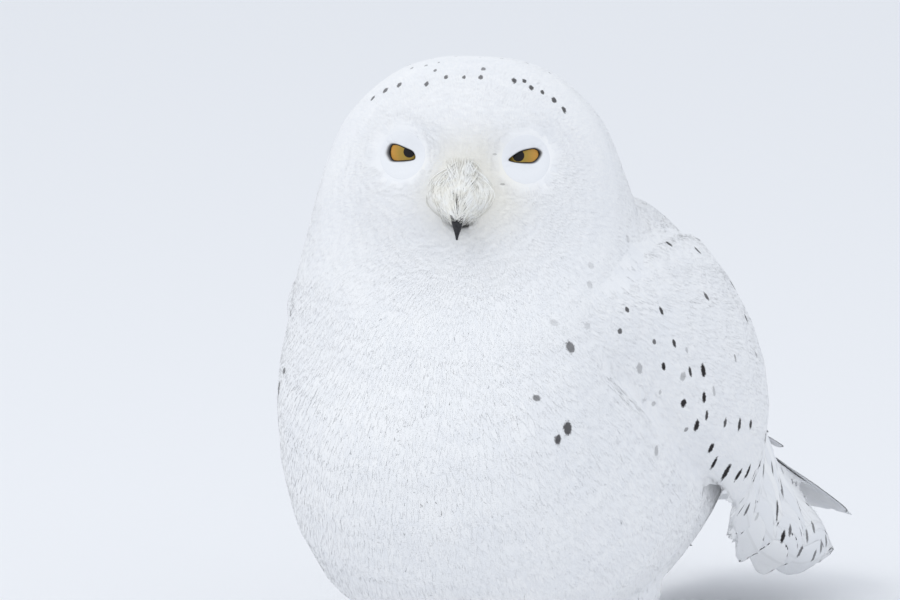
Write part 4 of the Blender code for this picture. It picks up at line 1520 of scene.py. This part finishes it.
def bill_half(name, node, line, widths, heights, ridge):
    """Half of the bill: a horn that tapers along its centre line, with a ridge on top."""
    turn = head_turn()
    steps, sides = 28, 28
    rings = []
    for i in range(steps + 1):
        t = i / steps
        centre, before, after = (bezier(line, s) for s in (t, t - 0.01, min(1.0, t + 0.01)))
        ahead = (after - before).normalized()
        across = Vector((1, 0, 0))
        up = across.cross(ahead)
        wide = smooth_between(widths, t * (len(widths) - 1)) * MM
        tall = smooth_between(heights, t * (len(heights) - 1)) * MM
        ring = []
        for k in range(sides):
            a = 2 * math.pi * k / sides
            rise = math.sin(a)
            narrow = 1 - ridge * max(0.0, rise) ** 2
            ring.append(turn @ (centre + across * wide * math.cos(a) * narrow + up * tall * rise))
        rings.append(ring)
    made = make_object(name, *loft(rings), need_material("bill_horn", horn_material))
    facing_out(made)
    hand_over(made, (node,))
    return made


def bezier(points, t):
    """Point on a quadratic curve in the head's plane of symmetry, in the tables' frame."""
    a, b, c = (Vector((0.0, y, z)) * MM for y, z in points)
    return a * (1 - t) ** 2 + b * 2 * t * (1 - t) + c * t * t


def claw_mesh(side, degrees, length):
    """Points and faces of one claw."""
    angle = math.radians(degrees)
    ahead = Vector((side * math.sin(angle), -math.cos(angle), 0))
    across = Vector((-ahead.y, ahead.x, 0))
    start = Vector((side * FOOT_X, FOOT_Y, 0)) + SHIFT + ahead * (length * MM - CLAW_ROOT_DEPTH)
    rings = []
    steps, sides = 18, 16
    for i in range(steps + 1):
        t = i / steps
        bend = CLAW_BEND * t
        reach = CLAW_LENGTH * math.sin(bend) / CLAW_BEND
        drop = CLAW_LENGTH * (1 - math.cos(bend)) / CLAW_BEND
        centre = start + ahead * reach + Vector((0, 0, CLAW_ROOT_HEIGHT - drop))
        up = across.cross(ahead * math.cos(bend) - Vector((0, 0, math.sin(bend))))
        radius = CLAW_RADIUS * (1 - t) ** 0.7 + 0.2 * MM
        ring = []
        for k in range(sides):
            a = 2 * math.pi * k / sides
            keel = 1 - 0.25 * max(0.0, -math.sin(a) * (1 if up.z > 0 else -1)) ** 2
            ring.append(centre + across * radius * math.cos(a) * keel + up * radius * math.sin(a))
        rings.append(ring)
    return loft(rings)


# --- Bristles round the bill ---------------------------------------------------------------

def front_finder(targets):
    """A function from a place on the face to how far forward its surface stands."""
    tree = faces_tree((target.data for target in targets), head_turn().inverted())

    def front(x, z):
        hit = tree.ray_cast(Vector((x, -0.2, z)), Vector((0, 1, 0)), 0.3)[0]
        return hit.y if hit else -40.0 * MM

    return front


# heights between which the chevrons on the ridge have dark ends, and how many of them have
SOOTY_TIPS = ((263.0, 266.2, 0.95), (259.8, 260.9, 0.8), (257.2, 257.9, 0.65))
# of all bristles, the shares up to which they are arcs, side strands and chevrons; then rays
ARCS, STRANDS, CHEVRONS = 0.3, 0.5, 0.85
# the square of the face that the bristles lie on: its left and lower edge, and its side
HULL_LEFT, HULL_LOW, HULL_SIDE = -30.0, 240.0, 60


def bristle_hull(front):
    """A function from a place on the face to a smooth surface in front of it."""
    wide = HULL_LEFT + np.arange(HULL_SIDE + 1)
    high = HULL_LOW + np.arange(HULL_SIDE + 1)
    raw = np.array([[front(x * MM, z * MM) / MM for z in high] for x in wide])
    soft = raw.copy()
    for _ in range(14):
        soft[1:-1] = (soft[:-2] + 2 * soft[1:-1] + soft[2:]) / 4
        soft[:, 1:-1] = (soft[:, :-2] + 2 * soft[:, 1:-1] + soft[:, 2:]) / 4
    hull = np.minimum(raw, soft)
    for _ in range(2):
        hull[1:-1] = (hull[:-2] + 2 * hull[1:-1] + hull[2:]) / 4

    def surface(x, z):
        i = min(max(x - HULL_LEFT, 0.0), HULL_SIDE - 0.01)
        k = min(max(z - HULL_LOW, 0.0), HULL_SIDE - 0.01)
        a, b = int(i), int(k)
        f, g = i - a, k - b
        low = hull[a, b] * (1 - g) + hull[a, b + 1] * g
        return low * (1 - f) + (hull[a + 1, b] * (1 - g) + hull[a + 1, b + 1] * g) * f

    return surface


def bristle_course(rng, side, steps):
    """One bristle from the front: across, up, how far out on the face, and how dark its end."""
    kind = rng.random()
    share, sooty = 0.0, 0.0
    if kind < ARCS:
        share = rng.random() ** 0.8
        first = rng.uniform(0.0, 0.45)
        s = first + (min(1.0, first + rng.uniform(0.35, 0.7)) - first) * steps
        out = (3.0 + 11.5 * share) * rng.uniform(0.75, 1.2)
        x = side * (0.6 + out * np.maximum(0.0, np.sin(math.pi * s ** 0.85)) ** 0.85)
        top = 277.0 + 2.0 * share + rng.uniform(-5.0, 4.0)
        low = 258.0 - 5.0 * share + rng.uniform(-2.0, 2.5)
        z = top + (low - top) * s
    elif kind < STRANDS:
        x0, x1 = rng.uniform(6.0, 13.0), rng.uniform(2.2, 8.0)
        z0, end = rng.uniform(262.0, 272.0), rng.uniform(251.6, 256.4)
        x = side * (x0 + (x1 - x0) * steps ** 1.2)
        z = z0 + (end - z0) * steps
    elif kind < CHEVRONS:
        z0 = rng.uniform(263.0, 286.0)
        x0, x1 = rng.uniform(0.3, 8.5), rng.uniform(-0.9, 1.2)
        drop = rng.uniform(8.0, 13.0)
        end = max(z0 - drop, 255.6 + rng.uniform(0.0, 1.5))
        x = side * (x0 + (x1 - x0) * steps ** 1.3)
        z = z0 + (end - z0) * steps
        for low, top, chance in SOOTY_TIPS:
            if low < end < top and rng.random() < chance:
                sooty = 0.9
    else:
        spread = rng.uniform(-1.0, 1.0)
        reach = rng.uniform(7.0, 14.0)
        bow = rng.uniform(0.5, 1.1)
        x = 1.0 + spread * (2.5 + 0.75 * reach * np.sin(0.5 * math.pi * steps))
        z = 279.0 + rng.uniform(-6.0, 6.0) - reach * steps * (0.5 + bow * steps * 0.6)
    x = x + rng.normal(0.0, 0.35) * np.sin(math.pi * steps)
    z = np.maximum(z, 251.0 + 4.6 * np.exp(-(x / 2.6) ** 2))
    return x, z, share, sooty


def bristle_paths():
    """Arcs round the root of the bill, chevrons down its ridge and rays from the brow."""
    rng = np.random.default_rng(17)
    front = front_finder([need("skin"), need("bill_upper"), need("bill_lower")])
    surface = bristle_hull(front)
    steps = np.linspace(0.0, 1.0, 11)
    bulge = [0.25 + 0.75 * math.sin(math.pi * (0.08 + 0.84 * f)) for f in steps]
    paths = []
    for k in range(bpy.context.scene.owl_face.bristles):
        x, z, share, sooty = bristle_course(rng, 1 if k % 2 else -1, steps)
        close = rng.uniform(0.2, 1.3) * (1 - 0.7 * share)
        if not sooty and rng.random() < 0.03:
            sooty = 0.5
        y = [surface(a, b) - close * out for a, b, out in zip(x, z, bulge)]
        path = np.stack((x, y, z), 1)
        for _ in range(3):
            path[1:-1] = (path[:-2] + 2 * path[1:-1] + path[2:]) / 4
        path[:, 1] = [min(b, front(a * MM, c * MM) / MM - 0.35) for a, b, c in path]
        paths.append((sooty, [head_turn() @ (Vector(point) * MM) for point in path]))
    return paths


def bristle_tree():
    """Tapered strands along paths."""
    made = Recipe("bristles", {"Thickness": ("Float", 0.25 * MM), **COMMON_INPUTS})
    curves = made.node("GeometryNodeMeshToCurve", {0: made.given["Geometry"]}).outputs[0]
    thick = made.math("MULTIPLY", made.named("taper"), made.given["Thickness"])
    curves = made.node("GeometryNodeSetCurveRadius", {"Curve": curves, "Radius": thick}).outputs[0]
    section = made.node("GeometryNodeCurvePrimitiveCircle", {"Resolution": 4, "Radius": 1.0}).outputs[0]
    inputs = {"Curve": curves, "Profile Curve": section, "Scale": thick, "Fill Caps": True}
    tube = made.node("GeometryNodeCurveToMesh", inputs).outputs[0]
    real = made.node("GeometryNodeRealizeInstances", {0: tube}).outputs[0]
    shaded = made.node("GeometryNodeSetMaterial", {"Geometry": real, "Material": made.given["Material"]})
    made.tree.links.new(shaded.outputs[0], made.result)
    return made.tree


def bristle_material(name):
    """Cream hair-like bristles, darker at the bill."""
    p = bpy.context.scene.owl_plumage
    f = bpy.context.scene.owl_face
    shade = Shade(name)
    at = shade.objects()
    streak = shade.steps(shade.noise(at, 240.0, 2.0), 0.3, 0.7)
    tone = shade.attribute("tone", "Fac")
    base = shade.mix(shade.math("MULTIPLY", streak, 0.4), colour(f.bristle), colour(p.cream))
    shaded = shade.math("MULTIPLY", shade.steps(tone, 0.55, 0.95), 0.45)
    base = shade.mix(shaded, base, colour(f.bristle_shade))
    base = shade.mix(shade.attribute("sooty", "Fac"), base, colour(f.bristle_dark))
    return shade.set(Base_Color=base, Roughness=0.7, Specular_IOR_Level=0.3)


def build_bristles():
    """The bristles that hide the root of the bill."""
    paths = bristle_paths()
    verts, edges, taper, sooty, tones, roots = [], [], [], [], [], []
    rng = np.random.default_rng(5)
    for dark, path in paths:
        first = len(verts)
        body = rng.uniform(0.6, 1.25)
        tone = rng.random()
        for i, point in enumerate(path):
            f = i / (len(path) - 1)
            verts.append(point)
            taper.append(body * (1 - 0.9 * f ** 2.5) * min(1.0, 0.25 + 3 * f))
            sooty.append(dark * float(smoothstep(0.62, 0.82, f)))
            tones.append(tone)
            roots.append(path[0])
        edges += [(first + i, first + i + 1) for i in range(len(path) - 1)]
    piece = make_object("bristles", verts, [], edges=edges)
    mesh = piece.data
    for name, values in (("taper", taper), ("sooty", sooty), ("tone", tones)):
        store(mesh, name, "FLOAT", values)
    store(mesh, "root_map", "FLOAT_VECTOR", skin_map(roots))
    modifier = piece.modifiers.new("strands", "NODES")
    modifier.node_group = bristle_tree()
    fill_inputs(modifier, {"Thickness": bpy.context.scene.owl_face.bristle_thickness,
                           "Material": need_material("bristle", bristle_material)})
    as_plain_mesh(piece)
    patch_map(piece.data)
    hand_over(piece)


def skin_map(points):
    """Where each point's nearest place on the skin lies in the skin's unwrap."""
    mesh = need("skin").data
    tree = KDTree(len(mesh.polygons))
    centre = read(mesh.polygons, "center", 3)
    for i, place_of in enumerate(centre):
        tree.insert(place_of, i)
    tree.balance()
    first = read(mesh.polygons, "loop_start", 1, "i")
    uv = read(mesh.uv_layers["OFBake"].uv, "vector", 2)
    found = [uv[first[tree.find(point)[1]]] for point in points]
    return np.array([(u, v, 0.0) for u, v in found])


def patch_map(mesh):
    """Each strand a small patch at its root's place on the skin's unwrap."""
    root = read(mesh.attributes["root_map"].data, "vector", 3)
    index = read(mesh.loops, "vertex_index", 1, "i")
    points = read(mesh.vertices, "co", 3)[index]
    layer = mesh.uv_layers.new(name="OFBake")
    flat = root[index][:, :2] + (points[:, [0, 2]] * 40.0 % 1.0) * PATCH
    layer.uv.foreach_set("vector", flat.astype(np.float32).ravel())
    mesh.attributes.remove(mesh.attributes["root_map"])


# --- Stage ---------------------------------------------------------------------------------

FLOOR_REACH = 30.0
FLOOR_TOP = -0.2 * MM


def floor_material():
    """Plain pale matt floor."""
    s = bpy.context.scene.owl_stage
    shade = Shade("floor")
    return shade.set(Base_Color=colour(s.floor_colour), Roughness=0.9, Specular_IOR_Level=0.1)


def aim(obj, position, target):
    """Put an object somewhere and point its -Z at a target."""
    obj.location = position
    obj.rotation_euler = (Vector(target) - Vector(position)).to_track_quat("-Z", "Y").to_euler()


def softbox(name, position, target, size, power, tint):
    """A large square light."""
    light = bpy.data.lights.new(name, "AREA")
    light.shape = "SQUARE"
    light.size = size
    light.energy = power
    light.color = tint
    aim(put_in_scene(name, light), position, target)


def build_stage():
    """Floor, soft light and camera."""
    s = bpy.context.scene.owl_stage
    ways = ((-1, -1), (1, -1), (1, 1), (-1, 1))
    corners = [(x * FLOOR_REACH, y * FLOOR_REACH, FLOOR_TOP) for x, y in ways]
    floor = make_object("floor", corners, [(0, 1, 2, 3)], floor_material(), smooth=False)
    world = bpy.data.worlds.new("soft_sky")
    world.use_nodes = True
    sky = world.node_tree.nodes["Background"]
    sky.inputs["Color"].default_value = colour(s.sky_colour)
    sky.inputs["Strength"].default_value = s.sky_strength
    scene = bpy.context.scene
    scene.world = world
    azimuth, height = math.radians(s.azimuth), math.radians(s.elevation)
    right = Vector((math.cos(azimuth), math.sin(azimuth), 0))
    level = Vector((math.sin(azimuth), -math.cos(azimuth), 0))
    toward = level * math.cos(height) + Vector((0, 0, math.sin(height)))
    up = Vector((0, 0, math.cos(height))) - level * math.sin(height)
    target = right * s.aim_right + up * s.aim_up + SHIFT
    key_place = target + (-right * 1.0 + up * 1.6 + toward * 1.2) * 1.4
    fill_place = target + (right * 1.6 + up * 0.8 + toward * 1.6) * 1.3
    softbox("key", key_place, target, 1.8, s.key_power, s.key_colour)
    softbox("fill", fill_place, target, 2.2, s.fill_power, s.fill_colour)
    camera = bpy.data.cameras.new("camera")
    camera.lens = s.lens
    camera.sensor_width = 36.0
    camera.clip_end = 100.0
    scene.camera = put_in_scene("camera", camera)
    aim(scene.camera, target + toward * s.distance, target)
    scene.view_settings.view_transform = "Standard"
    scene.view_settings.look = "None"


# --- Properties ----------------------------------------------------------------------------

def length_of(name, text, value):
    """A length property given in millimetres."""
    return FloatProperty(
        name=name, description=text, default=value * MM, min=0.0, unit="LENGTH", precision=5
    )


def number_of(name, text, value):
    """A plain number property."""
    return FloatProperty(name=name, description=text, default=value)


def power_of(name, text, value):
    """A light's power in watts."""
    return FloatProperty(name=name, description=text, default=value, unit="POWER")


def tint_of(name, text, value):
    """A linear colour property."""
    return FloatVectorProperty(
        name=name, description=text, default=value, subtype="COLOR", min=0.0, max=1.0
    )


class OwlPlumage(bpy.types.PropertyGroup):
    """Lengths, spacings and colours of the coat."""

    skin_grain: length_of("Skin grain", "Size of the skin's faces", 2.4)
    depth_share: number_of("Depth share", "Depth of the coat over the length of its feathers", 0.06)
    most_depth: length_of("Most depth", "The coat is nowhere deeper than this", 0.5)
    face_length: length_of("Face length", "Feathers round the eyes", 5.0)
    head_length: length_of("Head length", "Feathers of the crown and cheeks", 13.0)
    neck_length: length_of("Neck length", "Feathers of the neck", 19.0)
    breast_length: length_of("Breast length", "Feathers of the breast and belly", 26.0)
    back_length: length_of("Back length", "Feathers of the back", 29.0)
    wing_length: length_of("Shoulder length", "Soft feathers of the wing's shoulder", 20.0)
    leg_length: length_of("Leg length", "Feathers of the legs", 12.0)
    foot_length: length_of("Foot length", "Feathers of the toes", 6.5)
    white: tint_of("White", "The whitest feathers", (0.9, 0.9, 0.9))
    # shaded_white is also the painted shade of the bare lids in skin_material
    shaded_white: tint_of("Shaded white", "Slightly greyer feathers", (0.82, 0.83, 0.85))
    cream: tint_of("Cream", "Stain round the bill", (0.84, 0.8, 0.68))
    shaft: tint_of("Shaft", "Feather shafts", (0.7, 0.7, 0.7))
    mark: tint_of("Mark", "Middle of a dark mark", (0.022, 0.02, 0.022))
    mark_edge: tint_of("Mark edge", "Paler parts of a dark mark", (0.06, 0.055, 0.055))


class OwlFace(bpy.types.PropertyGroup):
    """Eyes, lids, bill and bristles."""

    pupil: length_of("Pupil", "Radius of the pupil", 2.9)
    iris: length_of("Iris", "Radius of the iris along the eyeball", 10.8)
    pupil_black: tint_of("Pupil black", "Colour of the pupil", (0.002, 0.002, 0.003))
    iris_inner: tint_of("Inner iris", "Iris round the pupil", (0.33, 0.23, 0.04))
    iris_outer: tint_of("Outer iris", "Iris towards its rim", (0.62, 0.3, 0.05))
    iris_spoke: tint_of("Iris spokes", "Fine spokes of the iris", (0.4, 0.2, 0.03))
    rim: tint_of("Eye rim", "Dark edge of the iris and the lids", (0.008, 0.006, 0.006))
    horn: tint_of("Horn", "Black of the bill and claws", (0.012, 0.012, 0.014))
    horn_worn: tint_of("Worn horn", "Paler grain of the horn", (0.03, 0.03, 0.034))
    bristle: tint_of("Bristles", "Colour of most bristles", (0.95, 0.95, 0.93))
    bristle_shade: tint_of("Shaded bristles", "Colour of the darkest plain bristles", (0.5, 0.48, 0.42))
    bristle_dark: tint_of("Sooty bristles", "Dark ends of some bristles", (0.16, 0.14, 0.11))
    bristle_thickness: length_of("Bristle thickness", "Radius of a bristle at its root", 0.24)
    bristles: IntProperty(name="Bristles", description="How many bristles", default=1000, min=2)


class OwlStage(bpy.types.PropertyGroup):
    """Floor, lights and camera."""

    floor_colour: tint_of("Floor", "Colour of the floor", (0.86, 0.865, 0.88))
    sky_colour: tint_of("Sky", "Colour of the light from all round", (0.9, 0.94, 1.0))
    sky_strength: number_of("Sky strength", "Brightness of the light from all round", 0.93)
    key_power: power_of("Key light", "Power of the main light", 20.0)
    key_colour: tint_of("Key colour", "Colour of the main light", (1.0, 0.985, 0.96))
    fill_power: power_of("Fill light", "Power of the second light", 5.0)
    fill_colour: tint_of("Fill colour", "Colour of the second light", (0.93, 0.96, 1.0))
    azimuth: number_of("Azimuth", "Degrees of the camera round the bird", 26.0)
    elevation: number_of("Elevation", "Degrees of the camera above the floor", 10.0)
    distance: length_of("Distance", "From camera to bird", 5000.0)
    lens: number_of("Lens", "Focal length in millimetres", 400.0)
    aim_right: number_of("Aim right", "Aim point to the camera's right, in metres", -0.008)
    aim_up: number_of("Aim up", "Aim point above the floor, in metres", 0.2085)


# --- Operators -----------------------------------------------------------------------------

class Step(bpy.types.Operator):
    """Shared form of the building steps."""

    bl_options = {"REGISTER", "UNDO"}

    def execute(self, context):
        """Build, and let any error stop the script."""
        self.build(context)
        return {"FINISHED"}


class OWL_OT_skin(Step):
    """Make the skin and its lids from the solids of flesh"""

    bl_idname = "owl.skin"
    bl_label = "Skin"

    def build(self, context):
        skin = build_skin()
        hand_over(skin, FLESH)


class OWL_OT_head(Step):
    """Grow the plumage of the face, crown and cheeks"""

    bl_idname = "owl.head_plumage"
    bl_label = "Head plumage"

    def build(self, context):
        shade = need_material("soft_plumage", plumage_material, False)
        fine = feather_set("fine_feathers", [tuft(f"fine_{k}", 4, 0.3, 0.14, k) for k in range(SHAPES)])
        grow_plumage("plumage_face", "coat_face", 1.05 * MM, 0.16, fine, shade, 11)
        grow_plumage("plumage_head", "coat_head", 1.6 * MM, 0.14, fine, shade, 12)
        clear_set(fine)


class OWL_OT_body(Step):
    """Grow the plumage of the neck, breast, belly and back"""

    bl_idname = "owl.body_plumage"
    bl_label = "Body plumage"

    def build(self, context):
        shade = need_material("soft_plumage", plumage_material, False)
        shapes = [tuft(f"soft_{k}", 5, 0.24, 0.12, 20 + k) for k in range(SHAPES)]
        soft = feather_set("soft_feathers", shapes)
        grow_plumage("plumage_neck", "coat_neck", 1.8 * MM, 0.12, soft, shade, 21)
        grow_plumage("plumage_breast", "coat_breast", 2.65 * MM, 0.12, soft, shade, 22)
        grow_plumage("plumage_back", "coat_back", 2.0 * MM, 0.1, soft, shade, 23)
        grow_plumage("plumage_shoulders", "coat_wing", 2.2 * MM, 0.1, soft, shade, 24)
        clear_set(soft)


class OWL_OT_limbs(Step):
    """Grow the short plumage of the legs and toes"""

    bl_idname = "owl.leg_plumage"
    bl_label = "Leg plumage"

    def build(self, context):
        shade = need_material("soft_plumage", plumage_material, False)
        shapes = [tuft(f"hair_{k}", 4, 0.34, 0.12, 40 + k) for k in range(SHAPES)]
        hair = feather_set("hair_feathers", shapes)
        grow_plumage("plumage_legs", "coat_leg", 2.0 * MM, 0.24, hair, shade, 31, 0.75)
        grow_plumage("plumage_feet", "coat_foot", 1.4 * MM, 0.26, hair, shade, 32, 0.75)
        clear_set(hair)


class OWL_OT_wings(Step):
    """Lay the coverts and flight feathers of both wings"""

    bl_idname = "owl.wings"
    bl_label = "Wings"

    def build(self, context):
        shade = need_material("firm_plumage", plumage_material, True)
        shapes = [vane(f"wing_{k}", 20, 10, 0.5 * MM, 70 + k, 0.24) for k in range(SHAPES)]
        firm = feather_set("wing_shapes", shapes)
        for label, side in SIDES.items():
            sheet = WingSheet(side)
            guide = sheet.guide()
            rows = row_points(sheet, WING_ROWS, np.random.default_rng(80 + side))
            lay_vanes(f"wing_feathers_{label}", guide, rows, firm, shade, 6, 0.7, side < 0)
            discard(guide)
        clear_set(firm)


class OWL_OT_tail(Step):
    """Lay the tail feathers and their coverts"""

    bl_idname = "owl.tail"
    bl_label = "Tail"

    def build(self, context):
        shade = need_material("firm_plumage", plumage_material, True)
        shapes = [vane(f"tail_{k}", 26, 10, 0.55 * MM, 90 + k, 0.2) for k in range(SHAPES)]
        firm = feather_set("tail_shapes", shapes)
        guide = tail_guide()
        rows = tail_rows(np.random.default_rng(9))
        lay_vanes("tail_feathers", guide, rows, firm, shade, 7, 0.6, True)
        discard(guide)
        clear_set(firm)


class OWL_OT_eyes(Step):
    """Make the two eyes"""

    bl_idname = "owl.eyes"
    bl_label = "Eyes"

    def build(self, context):
        for label, side in SIDES.items():
            build_eye(label, side)


class OWL_OT_bill(Step):
    """Make the bill and the bristles over its root"""

    bl_idname = "owl.bill"
    bl_label = "Bill"

    def build(self, context):
        bill_half("bill_upper", "beak_upper", UPPER_BILL, UPPER_BILL_WIDTHS, UPPER_BILL_HEIGHTS, 0.35)
        bill_half("bill_lower", "beak_lower", LOWER_BILL, LOWER_BILL_WIDTHS, LOWER_BILL_HEIGHTS, 0.0)
        build_bristles()


class OWL_OT_claws(Step):
    """Make the eight claws"""

    bl_idname = "owl.claws"
    bl_label = "Claws"

    def build(self, context):
        for label, side in SIDES.items():
            verts, faces = [], []
            for degrees, length in TOES.values():
                more, sides = claw_mesh(side, degrees, length)
                faces += [tuple(i + len(verts) for i in face) for face in sides]
                verts += more
            made = make_object(f"claws_{label}", verts, faces, need_material("claw_horn", horn_material))
            facing_out(made)
            hand_over(made, [f"claw_{label}_{toe}" for toe in TOES])


class OWL_OT_stage(Step):
    """Set out the floor, the lights and the camera"""

    bl_idname = "owl.stage"
    bl_label = "Stage"

    def build(self, context):
        build_stage()


class OWL_PT_panel(bpy.types.Panel):
    """The owl's steps and sizes"""

    bl_idname = "OWL_PT_panel"
    bl_label = "Snowy Owl"
    bl_space_type = "VIEW_3D"
    bl_region_type = "UI"
    bl_category = "Snowy Owl"

    def draw(self, context):
        for step in STEPS:
            self.layout.operator(step.bl_idname)
        for group in (context.scene.owl_plumage, context.scene.owl_face, context.scene.owl_stage):
            box = self.layout.box()
            for key in group.bl_rna.properties.keys():
                if key not in ("rna_type", "name"):
                    box.prop(group, key)


STEPS = (
    OWL_OT_skin, OWL_OT_head, OWL_OT_body, OWL_OT_limbs, OWL_OT_wings, OWL_OT_tail,
    OWL_OT_eyes, OWL_OT_bill, OWL_OT_claws, OWL_OT_stage,
)
GROUPS = {"owl_plumage": OwlPlumage, "owl_face": OwlFace, "owl_stage": OwlStage}


def register():
    """Register the add-on's classes and properties."""
    for made in (*GROUPS.values(), *STEPS, OWL_PT_panel):
        bpy.utils.register_class(made)
    for key, group in GROUPS.items():
        setattr(bpy.types.Scene, key, PointerProperty(type=group))


def unregister():
    """Take the add-on's classes and properties away again."""
    for key in GROUPS:
        delattr(bpy.types.Scene, key)
    for made in (OWL_PT_panel, *STEPS[::-1], *GROUPS.values()):
        bpy.utils.unregister_class(made)


def main():
    """Build the whole owl on its stage."""
    register()
    for step in STEPS:
        area, name = step.bl_idname.split(".")
        getattr(getattr(bpy.ops, area), name)()


if __name__ == "__main__":
    main()
